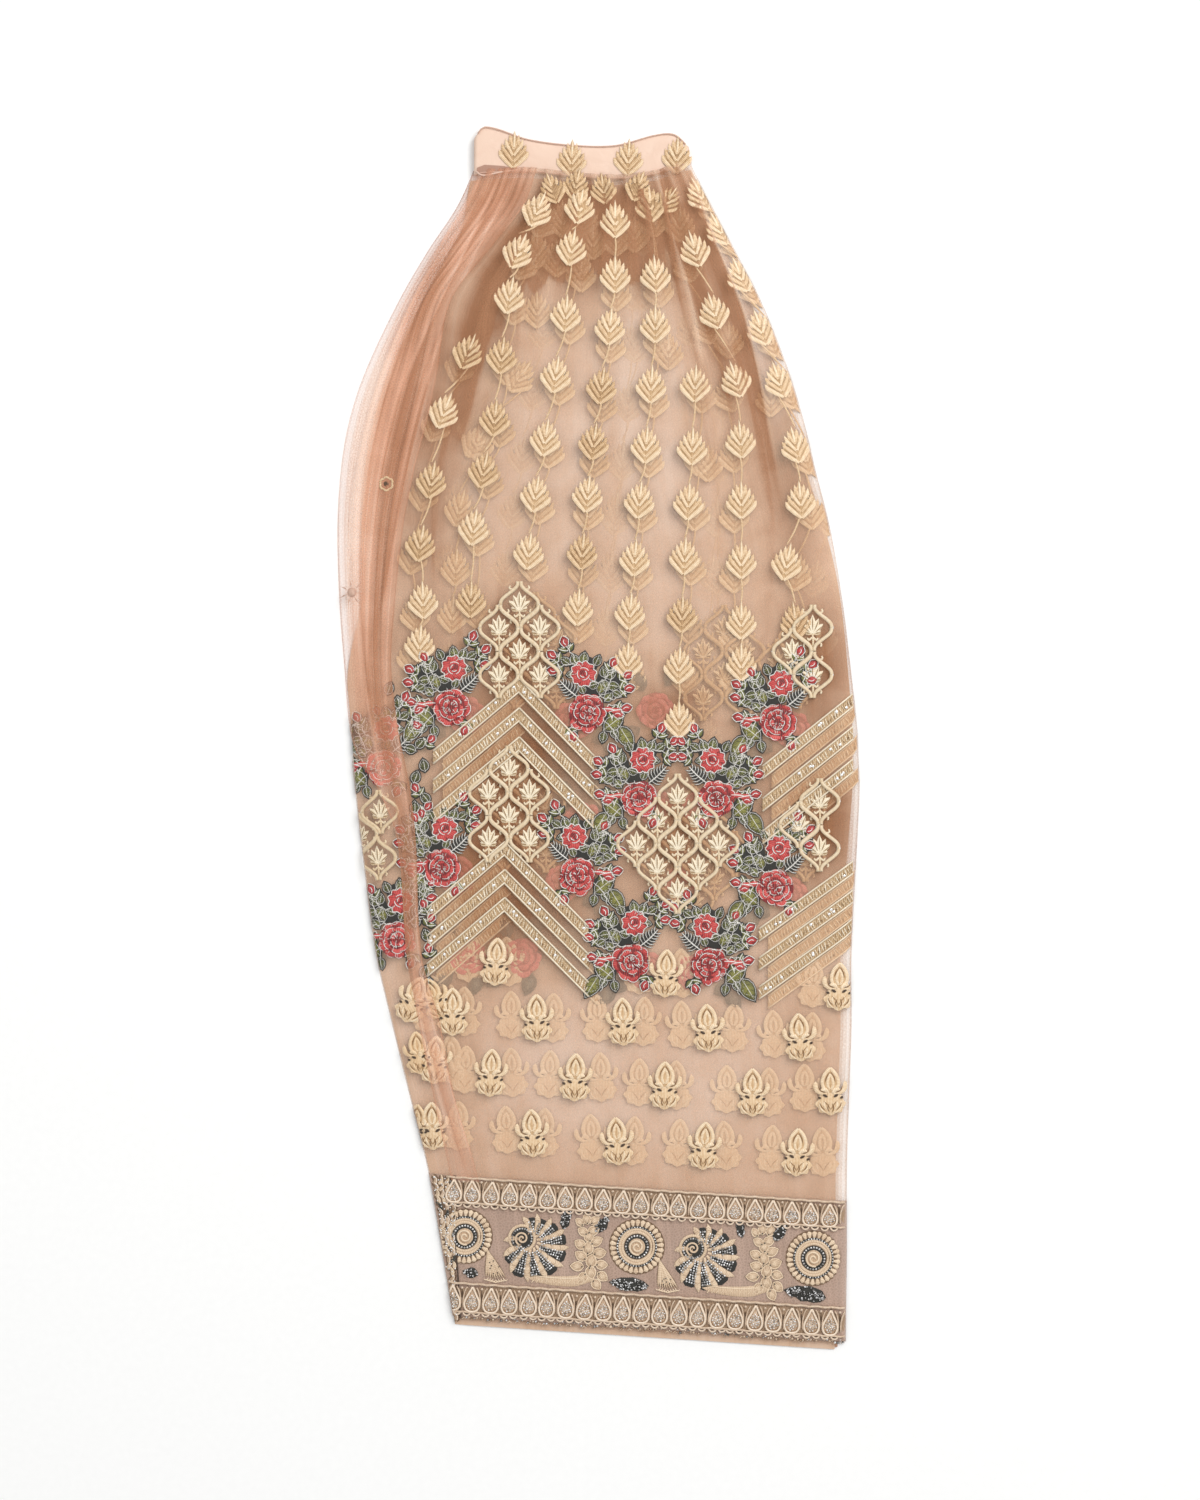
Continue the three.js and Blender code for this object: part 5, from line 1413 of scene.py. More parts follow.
@dataclass
class Embroidery:
    """All the thread, cord, ribbon and bead work, on the near leg and on the layers below."""

    leg: Needlework = field(default_factory=lambda: Needlework("leaf_and_bud_thread", LAY.near))
    second: Needlework = field(default_factory=lambda: Needlework("second_layer_thread",
        LAY.middle))
    third: Needlework = field(default_factory=lambda: Needlework("third_layer_thread", LAY.far))

    def leaves(self) -> None:
        """Works the strings of leaves, bright on the near leg and duller below."""
        for number, string in enumerate(LEAF_STRINGS):
            self.string(self.leg, string, 0, 0, GOLD, 0.5, 1.0)
            self.string(self.second, string, *BELOW[number], DULL_GOLD, 0.5, 0.5)
            if number > 0:
                self.string(self.third, string, 24 if number % 2 else -20, -14, FAINT_GOLD, 0.5,
                    0.3)
        self.string(self.second, GHOST_STRING, 0, 0, DULL_GOLD, 0.45, 0.5)
        for x, y, turn in WAIST_LEAVES:
            GoldLeaf().work(self.leg, Place(x, y, math.radians(turn), 0.86), GOLD, 0.3, 0.8)
        for x, y in GHOST_LEAVES:
            GoldLeaf().work(self.second, Place(x, y), DULL_GOLD, 0.4, 0.5)

    def string(self, bench: Needlework, string: LeafString, right: float, up: float, thread: Finish,
            tone: float, relief: float) -> None:
        """Works one string on one layer, moved by a few millimetres."""
        spots = [(x + right, y + up) for x, y in string.leaves]
        for i, (x, y) in enumerate(spots):
            dull = i in string.dull
            near = spots[i - 1] if i else spots[1]
            slope = (near[0] - x) / (near[1] - y)
            place = Place(x, y, -math.atan(slope), 1.0)
            GoldLeaf().work(bench, place, thread, tone - (0.16 if dull else 0), relief)
            if i + 1 < len(spots):
                lx, ly = spots[i + 1]
                line = smooth(((x, y - 14), (0.5 * (x + lx) + 0.8, 0.5 * (y + ly)), (lx, ly + 15)),
                    7)
                bench.stroke(Place(), line, 1.5, 0.7 * relief, thread, tone + 0.1, EVEN)

    def buds(self) -> None:
        """Works the rows of buds, with paler ones on the layers below."""
        for number, (x, y) in enumerate(BUDS):
            turn = math.radians(-20 if number == 3 else (number * 37 % 9) - 4)
            Bud().work(self.leg, Place(x, y, turn))
            if x < 190:
                Bud().work(self.second, Place(x + (number * 5 % 4) * 4 + 10, y, -turn, 1.03),
                    FAINT_GOLD, 0.55, 0.5)
            if x > -140:
                Bud().work(self.second, Place(x - 22, y + 2.5, turn), FAINT_GOLD, 0.6, 0.4)

    def lattices(self) -> None:
        """Works the ogee lattices and their ghosts."""
        for name, x, y, rows in LATTICES:
            bench = Needlework(name + "_cord", LAY.near)
            for number, row in enumerate(rows):
                for step in row:
                    spot = (x + step * Cell().half_width, y - number * Cell().half_height)
                    Cell().work(bench, Place(*spot))
                    Cell().work(self.second, Place(spot[0] + (14 if x < 150 else -12), spot[1] - 9),
                        DULL_GOLD, 0.55, 0.6)
            set_down(bench.make(), name)

    def ribbons(self) -> None:
        """Sews on the bent strips of ribbon and their ghosts."""
        number = 0
        for x, y, pitch, left, left_drop, right, right_drop in STRIP_SETS:
            for k in range(3):
                number += 1
                bench = Needlework(f"ribbon_{number}", LAY.near)
                top = y + k * pitch
                for run, drop in ((-left, left_drop), (right, right_drop)):
                    if run == 0:
                        continue
                    ends = (x, top, x + run, top - drop)
                    Ribbon().work(bench, ends, seed=number)
                    ghost = (x + 6, top - 8, x + run + 8, top - drop - 8)
                    Ribbon().work(self.second, ghost, DULL_GOLD, 0.62, 0, number)
                set_down(bench.make(), f"gota_strip_{number}")

    def bouquets(self) -> None:
        """Works the bouquets, with blurred roses on the layer below."""
        for number, (x, y, lean) in enumerate(BOUQUET_PLACES, 1):
            bench = Needlework(f"rose_spray_{number}", LAY.near)
            Bouquet(x, y, lean).work(bench, number, 0.5 if number > 10 else 1.0)
            set_down(bench.make(), f"bouquet_{number}")
            if number <= 10:
                Rose().work(self.second, Place(x + 13 * lean, y - 7), number, PALE_ROSE, PALE_ROSE,
                    0.5)
                for ax, ay, angle in ((-22, -14, 60), (-30, -24, 140), (20, 44, -30), (0, 46, 0)):
                    SilverLeaf(16, 10).work(self.second, Place(x, y, 0, 1, lean).at(ax + 9, ay - 6,
                        angle), PALE_SAGE, 0.4, PALE_SAGE, PALE_SAGE)
        for x, y in GHOST_CELLS:
            Cell().work(self.second, Place(x, y), DULL_GOLD, 0.5, 0.6)
        for number, (x, y) in enumerate(GHOST_ROSES):
            Rose().work(self.second, Place(x, y), 20 + number, PALE_ROSE, PALE_ROSE, 0.5)
            for ax, ay, angle in ((-14, 26, 20), (6, -24, 160), (-22, -20, 120), (14, 30, -30)):
                SilverLeaf(16, 10).work(self.second, Place(x + ax, y + ay, math.radians(angle)),
                    PALE_SAGE, 0.4, PALE_SAGE, PALE_SAGE)

    def border(self) -> None:
        """Works the border between its two trims."""
        bench = Needlework("border_thread", LAY.border)
        for seed, (motif, x, up) in enumerate(BORDER_ROW):
            place = Place(x, hem_line(BORDER_MIDDLE + up, x), 0.5 * math.atan(HEM_SLOPE))
            motif.work(bench, place, seed)
        for seed, (patch, x, up, angle) in enumerate(BEAD_PATCHES):
            place = Place(x, hem_line(BORDER_MIDDLE + up, x), math.radians(angle))
            patch.work(bench, place, seed)
        self.turned_end(bench)
        set_down(bench.make())
        for seed, trim in enumerate((Trim("hem_trim_upper", -389, -411, 19.5),
            Trim("hem_trim_lower", -480, -505, 21.5))):
            bench = Needlework(trim.name + "_cord", LAY.border)
            trim.work(bench, seed)
            set_down(bench.make(), trim.name)

    def turned_end(self, bench: Needlework) -> None:
        """Works the border's turned left end and the beaded strip under the hem."""
        draw = random.Random(5)
        # A dark brown cord along the turned fold: painted shade.
        fold = smooth(((-123, -379), (-124, -420), (-121, -465), (-119, -502)), 20)
        bench.cord(Place(), fold, 0.7, SHADE_BROWN, 0.3, 0.2)
        for row in range(22):
            y = -383 - 5.6 * row
            left = edge("left", np.array(y)) + 1.5
            count = max(1, round((-123 - left) / 5.0))
            for k in range(count):
                x = left + (k + 0.5) * (-123 - left) / count
                spot = Place(float(x), y, draw.uniform(-0.7, 0.7))
                finish = draw.choice((BEIGE, BEIGE, BEIGE, ANTIQUE, ANTIQUE, ANTIQUE, CHARCOAL))
                line = smooth(((-0.8, 4.6), (1.2, 0), (-0.8, -4.6)), 7)
                bench.stroke(spot, line, 5.4, 0.9, ANTIQUE, 0.05, EVEN, 0.1)
                bench.stroke(spot, line, 4.2, 1.3, finish, draw.uniform(0.4, 0.75), CLUB, 0.4)
                bench.stroke(spot, 0.8 * line + (1.1, 0), 0.9, 0.4, finish, 0.95, EVEN, 1.5)
                for _ in range(2):
                    bench.bead(spot, draw.uniform(-2, 2), draw.uniform(-4, 4), 0.7,
                        STEEL_BEAD if finish == CHARCOAL else SILVER, draw.uniform(0.5, 1), 1.5)
        for x in np.arange(-116, 211, 2.3):
            y = hem_line(-508.2 + draw.uniform(-1.6, 1.6), x)
            bench.bead(Place(x, y), 0, 0, draw.uniform(0.8, 1.3),
                draw.choice((ANTIQUE, STEEL_BEAD, BEIGE)), draw.uniform(0.2, 1), -1.2)
            line = np.array(((x - 1.5, y - 1.5), (x, y + 0.3), (x + 1.8, y - 1.2)))
            bench.stroke(Place(), line, 1.0, 0.5, ANTIQUE, draw.uniform(0.1, 0.9), EVEN, -1)

    def turned_side(self) -> None:
        """Works what shows on the left, where the leg turns under the gusset."""
        bench = Needlework("turned_side_thread", LAY.near)
        for x, y in ((-188, -66), (-190, -106), (-206, -86)):
            Cell().work(bench, Place(x, y, 0.06, 0.95), CORD, 0.6)
        for x, y, angle in SIDE_LEAVES:
            SilverLeaf().work(bench, Place(x, y, math.radians(angle)), SAGE, 0.4)
        for x, y, angle in SIDE_BERRIES:
            Berry().work(bench, Place(x, y, math.radians(angle), 1.1))
        for x, y, turn in ((-155, -273, 8), (-157, -336, -4), (-141, -226, 24)):
            Bud().work(bench, Place(x, y, math.radians(turn), 0.9), DULL_GOLD, 0.6)
        set_down(bench.make())

    def knots(self) -> None:
        """Works the ring of gold on the gusset and the satin bobble near its edge."""
        bench = Needlework("gusset_knots", LAY.gusset)
        knot = Place(-182, 215.5)
        for k in range(6):
            petal = knot.at(0, 0, 60 * k)
            bench.stroke(petal, arc(2.6, 20, 140, 6) + (0, 3.2), 1.9, 1.0, GOLD, 0.6, EVEN, 0.4)
        # A dark brown middle: painted shade in the knot's hollow.
        bench.dome(knot, ring(2.4, 10), 0.6, SHADE_BROWN, 0.6, 0.3)
        bobble = Place(-212, 122.5)
        bench.dome(bobble, ring(4.2, 12), 2.2, PIPING, 0.6, 0.2, -0.3)
        for k in range(7):
            line = np.array(((0, 4.2), (0.6, 7.5), (0.2, 11.5)))
            bench.stroke(bobble.at(0, 0, 51 * k + 12), line, 1.1, 0.4, PIPING, 0.2, POINTED)
        set_down(bench.make())

    def build(self) -> None:
        """Works everything."""
        self.leaves()
        self.buds()
        self.lattices()
        self.ribbons()
        self.bouquets()
        self.border()
        self.knots()
        self.turned_side()
        for bench in (self.third, self.second, self.leg):
            set_down(bench.make())


@dataclass(frozen=True)
class Shade:
    """A soft oval patch where the cloth is deeper or paler, and covers more or less.

    Deeper patches stand partly for more layers of net and partly for painted shade
    under gathers, round motifs and along folds; paler ones for fewer layers and
    painted light on folds.
    """

    x: float
    y: float
    across: float
    up: float
    tone: float = 0.0
    cover: float = 0.0
    turn: float = 0.0

    def strength(self, x: np.ndarray, y: np.ndarray) -> np.ndarray:
        """Gives how strong it is at each place, from 0 to 1."""
        turn = math.radians(self.turn)
        dx, dy = x - self.x, y - self.y
        across = dx * math.cos(turn) + dy * math.sin(turn)
        up = dy * math.cos(turn) - dx * math.sin(turn)
        return np.exp(-((across / self.across) ** 2) - (up / self.up) ** 2)


@dataclass(frozen=True)
class Crease:
    """The edge of a fold: a sharp line on one side, which fades away on the other.

    Its line gives y and x of a few places on it, from the foot upwards. The fade is the
    length over which it comes in at its foot, and the rise is how high it stands. Its
    tone is painted shade along the fold, or a painted highlight where it is below zero,
    and its cover is the net that the fold doubles.
    """

    line: Sequence[Row]
    width: float = 8.0
    tone: float = 0.25
    cover: float = 0.15
    way: float = 1.0
    rise: float = 0.8
    fade: float = 40.0

    def strength(self, x: np.ndarray, y: np.ndarray) -> np.ndarray:
        """Gives how strong it is at each place, from 0 to 1."""
        table = np.array(self.line, float)
        away = self.way * (x - reading(table, 1, y))
        fade = smoothstep(y, table[0, 0], table[0, 0] + self.fade)
        fade = fade * (1 - smoothstep(y, table[-1, 0] - 12, table[-1, 0]))
        return fade * np.where(away > 0, np.exp(-away / self.width), np.exp(-((away / 1.5) ** 2)))


@dataclass(frozen=True)
class Scallop:
    """The scalloped foot of a layer of gathers underneath: deep above its line."""

    left: float
    right: float
    y: float
    pitch: float
    depth: float
    reach: float
    tone: float
    cover: float
    rise: float = 0.0

    def strength(self, x: np.ndarray, y: np.ndarray) -> np.ndarray:
        """Gives how strong it is at each place, from 0 to 1."""
        line = self.y - self.depth * np.abs(np.sin(np.pi * (x - self.left) / self.pitch)) ** 0.7
        line = line - 0.004 * (x - 0.5 * (self.left + self.right)) ** 2
        above = y - line
        span = smoothstep(x, self.left - 8, self.left + 8)
        span = span * (1 - smoothstep(x, self.right - 8, self.right + 8))
        return span * smoothstep(above, -1.5, 1) * np.exp(-np.maximum(above, 0) / self.reach)


@dataclass(frozen=True)
class Panel:
    """A panel of net between two side edges and two end lines.

    Args:
        name: The piece's name.
        surface: Height of its outer face.
        left: x of its left edge at a height up the leg.
        right: x of its right edge.
        top: y of its top line at an x.
        foot: y of its foot line at an x.
        net: Its finish.
        tone: How deep its colour is, from 0 to 1.
        cover: How much it hides, from 0 to 1.
        shades: Patches of deeper or paler colour, from layers, painted shade and painted light.
        creases: Fold edges with painted shade or highlight, and feet of gathers; both may stand up
            a little.
        gathers: Its gathers: painted shade on one side, a painted highlight on the other, more
            cover between.
        depth: How strong the painted shade and highlight of the gathers are.
        rim: How much less it covers at its side edges.
        rim_width: How far in from the edges that reaches.
        selvedge: How much more the edge itself covers.
        columns: Steps of its mesh across it.
        rows: Steps of its mesh along it.
        thickness: Thickness of the cloth, or 0 for a single face.
        weave_width: Width over which its streaks run.
    """

    name: str
    surface: Surface
    left: Bound
    right: Bound
    top: Bound
    foot: Bound
    net: Finish
    tone: float = 0.4
    cover: float = 0.4
    shades: Sequence[Shade] = ()
    creases: Sequence["Crease | Scallop"] = ()
    gathers: Sequence[Fold] = ()
    depth: float = 0.25
    rim: float = 0.0
    rim_width: float = 7.0
    selvedge: float = 0.0
    columns: int = 120
    rows: int = 200
    thickness: float = 0.4
    weave_width: float = 380.0

    def build(self) -> bpy.types.Object:
        """Makes the panel's mesh and gives it its thickness."""
        across = np.linspace(0, 1, self.columns + 1)
        across = across - 0.1 * np.sin(2 * np.pi * across)
        down = np.linspace(0, 1, self.rows + 1)
        u, v = np.meshgrid(across, down)
        x = np.full(u.shape, 20.0)
        for _ in range(4):
            y = self.top(x) + (self.foot(x) - self.top(x)) * v
            x = self.left(y) + (self.right(y) - self.left(y)) * u
        z = self.surface(x, y)
        points = np.column_stack((x.ravel(), y.ravel(), z.ravel()))
        n = self.columns + 1
        i = (np.arange(self.rows)[:, None] * n + np.arange(self.columns)[None, :]).ravel()
        faces = np.column_stack((i, i + n, i + n + 1, i + 1))
        tone = np.full(len(points), self.tone)
        cover = np.full(len(points), self.cover)
        # Patches and fold edges add layer depth, painted shade and painted light to the tone, and
        # more net to the cover.
        for mark in (*self.shades, *self.creases):
            strength = mark.strength(points[:, 0], points[:, 1])
            tone += mark.tone * strength
            cover += mark.cover * strength
            if not isinstance(mark, Shade):
                points[:, 2] += mark.rise * strength
        # Painted shade on one side of each gather, a painted highlight on the other, and more net
        # at its middle.
        for fold in self.gathers:
            near = (u.ravel() - fold.at) / fold.width
            strength = smoothstep(points[:, 1], fold.foot, fold.foot + LAY.fold_run_out)
            tone += self.depth * strength * np.exp(-((near + 0.7) ** 2) * 2)
            tone -= 0.6 * self.depth * strength * np.exp(-((near - 0.4) ** 2) * 3)
            cover += 0.1 * strength * np.exp(-(near**2))
        side = np.minimum(u, 1 - u).ravel() * (self.right(y) - self.left(y)).ravel()
        cover -= self.rim * np.exp(-side / self.rim_width)
        cover += self.selvedge * np.exp(-((side / 1.4) ** 2))
        tone += 1.2 * self.selvedge * np.exp(-((side / 1.4) ** 2))
        threads = np.column_stack((u.ravel() * self.weave_width, points[:, 1]))
        made = mesh_object(self.name, points, faces, threads, {"tone": tone,
            "cover": np.clip(cover, 0, 1)}, [self.net])
        if self.thickness:
            thicken(made, self.thickness)
        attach(made, "root")
        return made


def waist_line(drop: float = 0.0) -> Bound:
    """Gives the line under the waistband, lowered by a few millimetres."""
    return lambda x: reading(BAND_EDGES, 1, np.clip(x, -107, 78)) + 4 - drop


def hem(middle: float) -> Bound:
    """Gives a line across the hem."""
    return lambda x: hem_line(middle, x)


def side(column: str, inset: float = 0.0) -> Bound:
    """Gives a side edge, drawn in by a few millimetres."""
    return lambda y: edge(column, y) + inset


# Patches over the body's nets: deeper where more layers lie, painted shade under the gathers at the
# waist and round the lattices, bouquets and ribbons, and paler between the leaf strings.
BODY_SHADES = tuple(Shade(*row) for row in ((-10, 450, 70, 34, 0.38, 0.08),
    (-30, 415, 50, 45, 0.35, 0.06), (30, 425, 55, 40, 0.35, 0.06),
    (-88, 375, 24, 85, 0.4, 0.08, -18), (-120, 290, 22, 90, 0.22, 0.05, -12),
    (90, 390, 26, 80, 0.35, 0.08, 22), (140, 280, 24, 110, 0.25, 0.06, 14),
    (165, 190, 26, 90, 0.25, 0.05, 5), (-150, 150, 24, 120, 0.25, 0.05, -6),
    (28, 280, 14, 120, -0.2, -0.03), (-15, 250, 12, 110, -0.12, -0.02, -5),
    (62, 250, 12, 110, -0.15, -0.02), (-70, 80, 36, 45, 0.45, 0.12), (-77, -62, 36, 42, 0.45, 0.12),
    (68, -95, 42, 55, 0.4, 0.12), (192, 70, 30, 45, 0.4, 0.12), (195, -80, 30, 45, 0.4, 0.12),
    (-60, 0, 60, 40, 0.25, 0.06), (-70, -150, 60, 40, 0.25, 0.06), (-80, 20, 85, 80, 0.28, 0.05),
    (-80, -115, 85, 75, 0.28, 0.05), (70, -60, 90, 100, 0.22, 0.04), (180, -30, 60, 130, 0.3, 0.05),
    (-112, 360, 30, 60, 0.18, 0.05, -20), (-150, 270, 22, 70, 0.2, 0.05, -10),
    (20, -400, 190, 90, 0.14, 0.02), (-110, -150, 40, 110, 0.2, 0.03), (62, 24, 34, 26, 0.4, 0.06),
    (-90, -260, 60, 110, 0.12, 0.03), (180, -300, 40, 100, 0.08, 0.02),
    (-46, -282, 55, 60, -0.24, 0), (36, -330, 80, 50, -0.14, 0), (112, -300, 40, 70, -0.12, 0)))
# Patches over the gusset: painted shade and painted highlights along its long folds, and deeper
# colour where more net lies under it.
GUSSET_SHADES = tuple(Shade(*row) for row in ((-162, 310, 12, 110, 0.35, 0.1, -14),
    (-178, 150, 16, 130, 0.22, 0.08, -4), (-186, 330, 12, 90, -0.35, -0.04, -20),
    (-208, 200, 10, 110, -0.25, -0.02, -2), (-140, 400, 14, 90, 0.4, 0.1, -32),
    (-200, 240, 6, 90, -0.3, -0.05, -8), (-158, 210, 8, 90, -0.25, -0.05, -10),
    (-90, 470, 40, 18, 0.4, 0.1), (-190, 30, 18, 60, 0.3, 0.1),
    (-165, -120, 14, 190, 0.6, 0.14, -4)))
# Scallops where a layer of gathers underneath ends, and fold edges on the near leg with painted
# shade or painted highlights along them.
LEG_CREASES = (Scallop(-62, 55, 402, 19.5, 11, 36, 0.42, 0.14),
    Scallop(-40, 30, 432, 17.5, 9, 22, 0.35, 0.1), Crease(((180, 112), (272, 95), (321, 84),
    (391, 66), (470, 55), (495, 53)), 20, 0.36, 0.16, fade=170),
    Crease(((150, 166), (272, 144), (360, 125), (429, 98), (470, 84), (495, 78)), 18, 0.34, 0.16,
    -1, fade=170), Crease(((150, 167), (272, 145), (360, 126), (429, 99), (470, 85), (495, 79)), 22,
    -0.55, -0.1, fade=170), Crease(((250, 80), (330, 66), (400, 52), (470, 40)), 6, 0.25, 0.08, -1),
    Crease(((232, -132), (255, -119), (310, -102), (372, -86), (440, -60)), 14, 0.3, 0.12, -1),
    Crease(((60, 96), (150, 103), (230, 98), (320, 76)), 7, 0.22, 0.06),
    Crease(((90, 146), (180, 150), (260, 138), (340, 116)), 8, 0.22, 0.06, -1),
    Crease(((40, -112), (120, -120), (220, -112), (300, -92)), 8, 0.22, 0.06, -1),
    Crease(((110, -140), (200, -142), (290, -124), (390, -90)), 6, 0.3, 0.1),
    Crease(((300, -74), (380, -66), (440, -50), (478, -42)), 5, 0.35, 0.1),
    Crease(((300, 92), (370, 80), (440, 60), (478, 52)), 4, -0.3, 0.1, -1),
    Crease(((390, 24), (430, 30), (478, 36)), 5, 0.35, 0.1), Crease(((400, -12), (440, -18),
    (478, -24)), 5, 0.35, 0.1, -1), Crease(((330, -28), (400, -22), (470, -8)), 9, 0.35, 0.1),
    Crease(((350, 36), (410, 32), (470, 20)), 9, 0.3, 0.1, -1),
    Crease(((370, 8), (430, 2), (475, 4)), 7, 0.35, 0.1), Crease(((380, -48), (430, -40),
    (470, -22)), 7, 0.3, 0.1, -1), Crease(((395, 60), (440, 46), (475, 34)), 7, 0.35, 0.1, -1))
# Fold edges on the gusset, with painted shade or painted highlights along them.
GUSSET_CREASES = tuple(Crease(*row) for row in ((((-388, -110), (-300, -136), (-200, -160),
    (-100, -168), (20, -186)), 4, 0.4, 0.16), (((-380, -104), (-300, -128), (-200, -153),
    (-100, -160), (20, -176)), 3, -0.4, 0.14, -1), (((-360, -124), (-260, -150), (-160, -166),
    (-60, -184), (40, -200)), 3, -0.3, 0.12), (((60, -214), (180, -214), (300, -190), (420, -136),
    (484, -100)), 4, -0.25, 0.12), (((-20, -190), (120, -204), (240, -196), (350, -160),
    (470, -96)), 5, 0.3, 0.15), (((40, -200), (160, -196), (280, -176), (400, -122), (480, -86)), 4,
    -0.3, 0.1, -1), (((-60, -178), (60, -192), (200, -184), (330, -152), (470, -84)), 5, 0.35,
    0.15), (((0, -184), (140, -178), (260, -160), (380, -120), (478, -74)), 4, -0.3, 0.1, -1),
    (((100, -188), (220, -172), (330, -142), (440, -84)), 5, 0.3, 0.12),
    (((60, -196), (200, -170), (300, -146), (420, -88), (480, -60)), 4, 0.35, 0.15, -1)))


def lowest_left(y: np.ndarray) -> np.ndarray:
    """Left edge of the lowest net, which leaves the gusset's rim clear over the floor."""
    clear = smoothstep(y, 40, 130) * (1 - smoothstep(y, 420, 480))
    return edge("left", y) + 1 + 20 * clear


def lowest_right(y: np.ndarray) -> np.ndarray:
    """Right edge of the lowest net, which leaves the near leg's rim clear below the bouquets."""
    clear = smoothstep(y, 120, 260) * (1 - smoothstep(y, 440, 480))
    return edge("right", y) - 1.5 - 8 * (1 - smoothstep(y, -180, 120)) - 8 * clear


@dataclass
class Cloths:
    """All the layers of net, from the one on the floor up to the near leg."""

    def build(self) -> None:
        lowest = Panel("lowest_net", LAY.far, lowest_left, lowest_right, waist_line(8), hem(-516),
            LOWEST_NET, 0.42, 0.86, BODY_SHADES, thickness=0.0).build()
        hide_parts("under_layers")
        third = Panel("third_net", lambda x, y: 0.2 + 0.5 * LAY.pile(x, y), side("left", 6),
            side("right", -7), waist_line(6), hem(-512), HIDDEN_NET, 0.4, 0.22, BODY_SHADES,
            thickness=0.0).build()
        second = Panel("second_net", LAY.middle, side("left", 9), side("right", -4), waist_line(4),
            hem(-510), HIDDEN_NET, 0.4, 0.22, BODY_SHADES, thickness=0.0).build()
        near = Panel("near_leg_net", LAY.near, side("leg"), side("right"), waist_line(), hem(-389),
            LEG_NET, 0.35, 0.15, BODY_SHADES, LEG_CREASES, LEG_GATHERS, 0.2, rim=0.06,
            selvedge=0.25, columns=180, rows=230).build()
        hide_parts("near_leg")
        gusset = Panel("gusset_net", LAY.gusset, side("gusset_left"), side("gusset_right"),
            waist_line(), hem(-391), GUSSET_NET, 0.42, 0.4, GUSSET_SHADES, GUSSET_CREASES,
            GUSSET_FOLDS, 0.08, rim=0.34, rim_width=20, selvedge=0.3, columns=90, rows=240).build()
        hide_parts("crotch_panel")
        border = Panel("border_net", LAY.border, side("left"), side("right"), hem(-387),
            hem(-508.5), BORDER_NET, 0.5, 0.62, rows=40).build()
        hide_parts("hem_border")
        far = Panel("far_hem_net", lambda x, y: 0.4 + 0.2 * LAY.pile(x, y), side("left", 7),
            side("right", -7), hem(-506), hem(-514), GUSSET_NET, 0.5, 0.75, rows=6).build()
        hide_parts("far_hem")
        for panel in (third, second, near, gusset):
            panel.visible_shadow = False


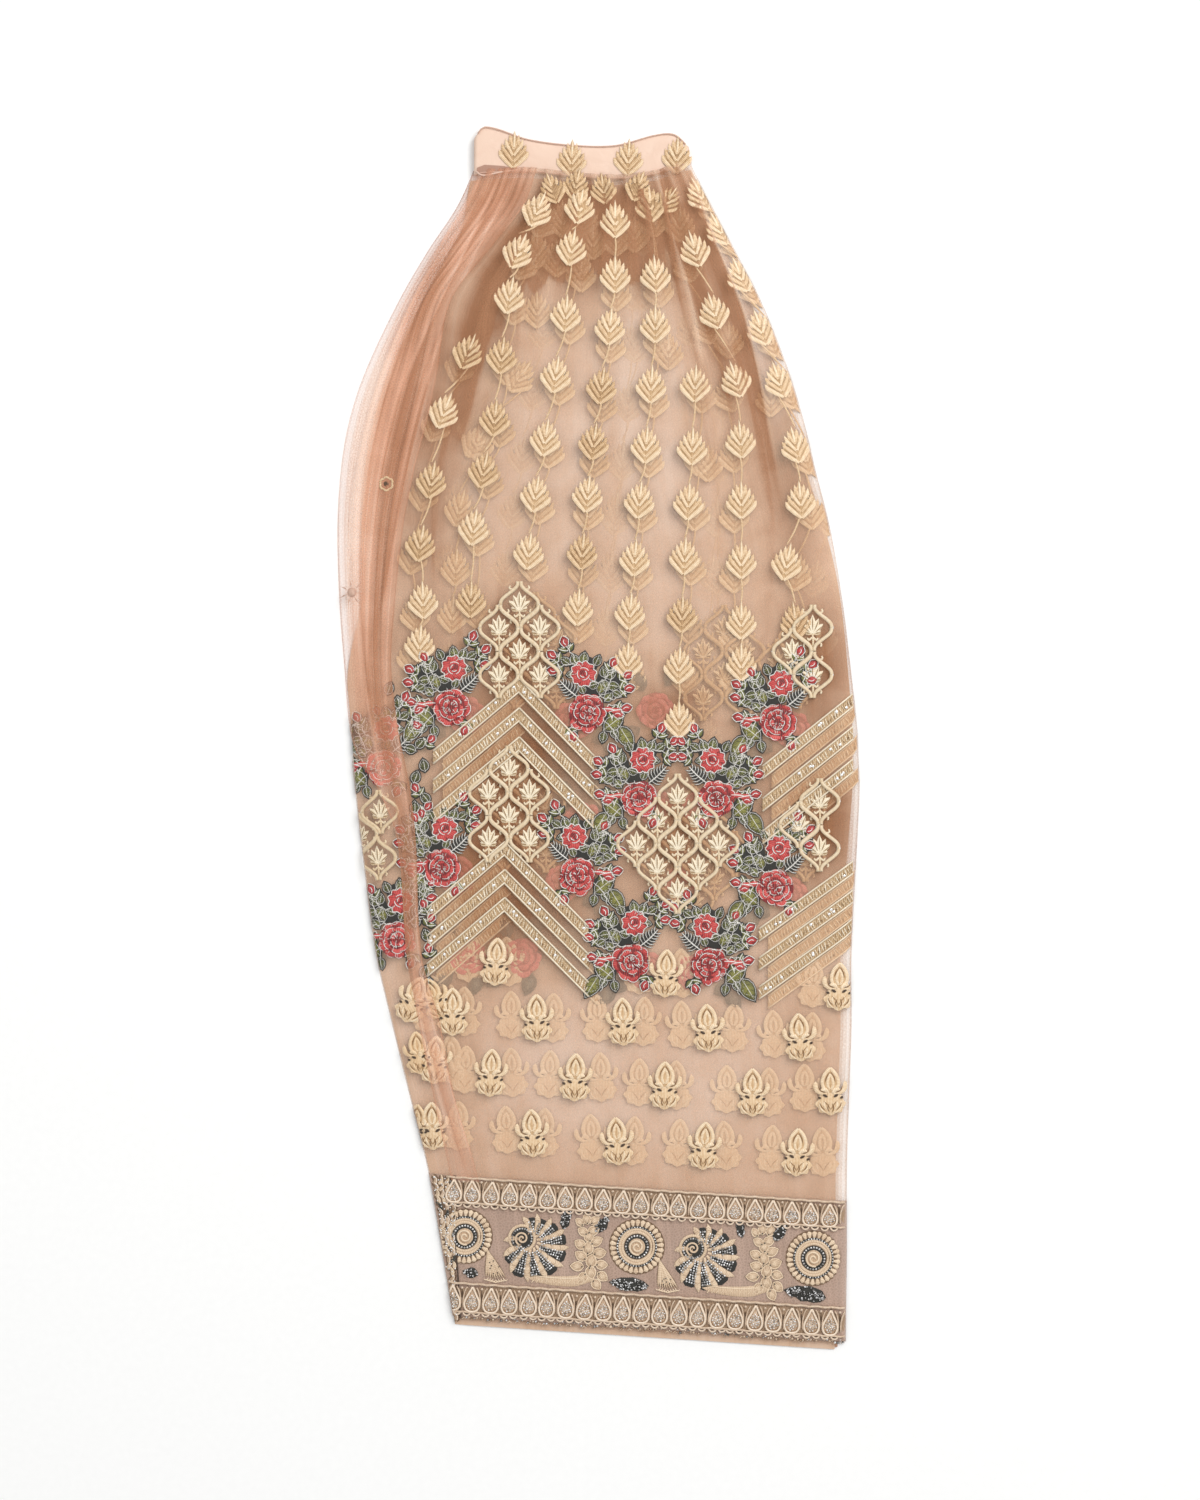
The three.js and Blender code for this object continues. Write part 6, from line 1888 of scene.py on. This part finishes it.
@dataclass(frozen=True)
class Waistband:
    """The satin band: a closed ribbon that lies folded to a quarter."""

    left: float = -107
    right: float = 78
    height: float = 6.95
    thickness: float = 1
    steps: int = 60
    rounds: int = 24

    def build(self) -> bpy.types.Object:
        """Builds the band as a flat tube with a second layer inside."""
        xs = np.linspace(self.left, self.right, self.steps + 1)
        low = reading(BAND_EDGES, 1, xs)
        high = reading(BAND_EDGES, 2, xs)
        rows = []
        for k in range(self.rounds):
            angle = 2 * math.pi * k / self.rounds
            across = np.sign(math.cos(angle)) * abs(math.cos(angle)) ** 0.35
            up = np.sign(math.sin(angle)) * abs(math.sin(angle)) ** 0.5
            y = (low + high) / 2 + (high - low) / 2 * across
            z = self.height * (0.5 + 0.48 * up) + 0.15 * np.sin(xs / 9 + 3 * across)
            rows.append(np.column_stack((xs, y, z)))
        points = np.stack(rows, axis=1).reshape(-1, 3)
        n = self.rounds
        faces = []
        for k in range(self.rounds):
            a = np.arange(self.steps) * n + k
            b = np.arange(self.steps) * n + (k + 1) % n
            faces.append(np.column_stack((a, b, b + n, a + n)))
        bench = Needlework("waistband_thread", LAY.band, folded=False)
        for line, tone in ((low + 0.9, 0.4), (high - 0.9, 0.55)):
            bench.cord(Place(), np.column_stack((xs[1:-1], line[1:-1])), 0.6, PIPING, tone, -0.3)
        for x, y in ((-72.9, 503.5), (-23.1, 496.3), (25.8, 497.0), (67.5, 499.1)):
            GoldLeaf().work(bench, Place(x, y, -0.05, 0.98), GOLD, 0.42, 1.0)
        # A dark patch at the band's open end: painted shade inside the opening.
        opening = np.array(((-100, 482), (-84, 484.6), (-66, 486.6), (-82, 489.6), (-98, 490.6),
            (-104.6, 488), (-104.6, 484)))
        bench.dome(Place(), opening, 0.1, PIPING, -0.1, 0.05, -0.4)
        bench.cord(Place(), smooth(((-66, 486.6), (-84, 484.2), (-99, 481.4), (-105.4, 485)), 12),
            0.8, PIPING, 0.85, -0.3)
        set_down(bench.make())
        made = mesh_object("waistband_satin", points, np.vstack(faces), points[:, :2],
            {"tone": np.full(len(points), 0.1)}, [SATIN])
        thicken(made, self.thickness)
        set_down(made, "waistband")
        return made


@dataclass(frozen=True)
class Studio:
    """A pale paper floor, soft light and a camera straight above."""

    camera_height: float = 3.046
    camera_x: float = 1.3
    camera_y: float = -12.9
    lens: float = 85
    sensor: float = 36
    floor_size: float = 8
    surround: float = 0.56

    def build(self) -> None:
        """Builds the floor, the lights, the world and the camera."""
        bpy.ops.mesh.primitive_plane_add(size=self.floor_size, location=(0, 0, 0))
        floor = bpy.context.object
        floor.name = "paper_floor"
        floor.data.materials.append(Paper().material())
        self.light("soft_key", (1.5, 1.5, 2.5), 2.2, 80)
        self.light("soft_fill", (-1.8, -0.8, 2.4), 2.6, 18)
        world = bpy.data.worlds.new("studio")
        world.use_nodes = True
        world.node_tree.nodes["Background"].inputs[0].default_value = (1, 1, 1, 1)
        world.node_tree.nodes["Background"].inputs[1].default_value = self.surround
        scene = bpy.context.scene
        scene.world = world
        scene.view_settings.view_transform = "Standard"
        camera = bpy.data.objects.new("camera", bpy.data.cameras.new("camera"))
        camera.data.lens = self.lens
        camera.data.sensor_width = self.sensor
        camera.location = (self.camera_x * MM, self.camera_y * MM, self.camera_height + 8 * MM)
        scene.collection.objects.link(camera)
        scene.camera = camera

    def light(self, name: str, place: tuple[float, float, float], size: float,
            power: float) -> None:
        """Hangs one soft square light that faces the garment."""
        lamp = bpy.data.lights.new(name, "AREA")
        lamp.size = size
        lamp.energy = power
        made = bpy.data.objects.new(name, lamp)
        made.location = place
        made.rotation_euler = Vector(place).to_track_quat("Z", "Y").to_euler()
        bpy.context.scene.collection.objects.link(made)


def main() -> None:
    """Loads the frame and builds every piece in order."""
    logging.basicConfig(level=logging.INFO, format="%(name)s: %(message)s")
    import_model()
    Cloths().build()
    Waistband().build()
    Embroidery().build()
    Studio().build()


if __name__ == "__main__":
    main()
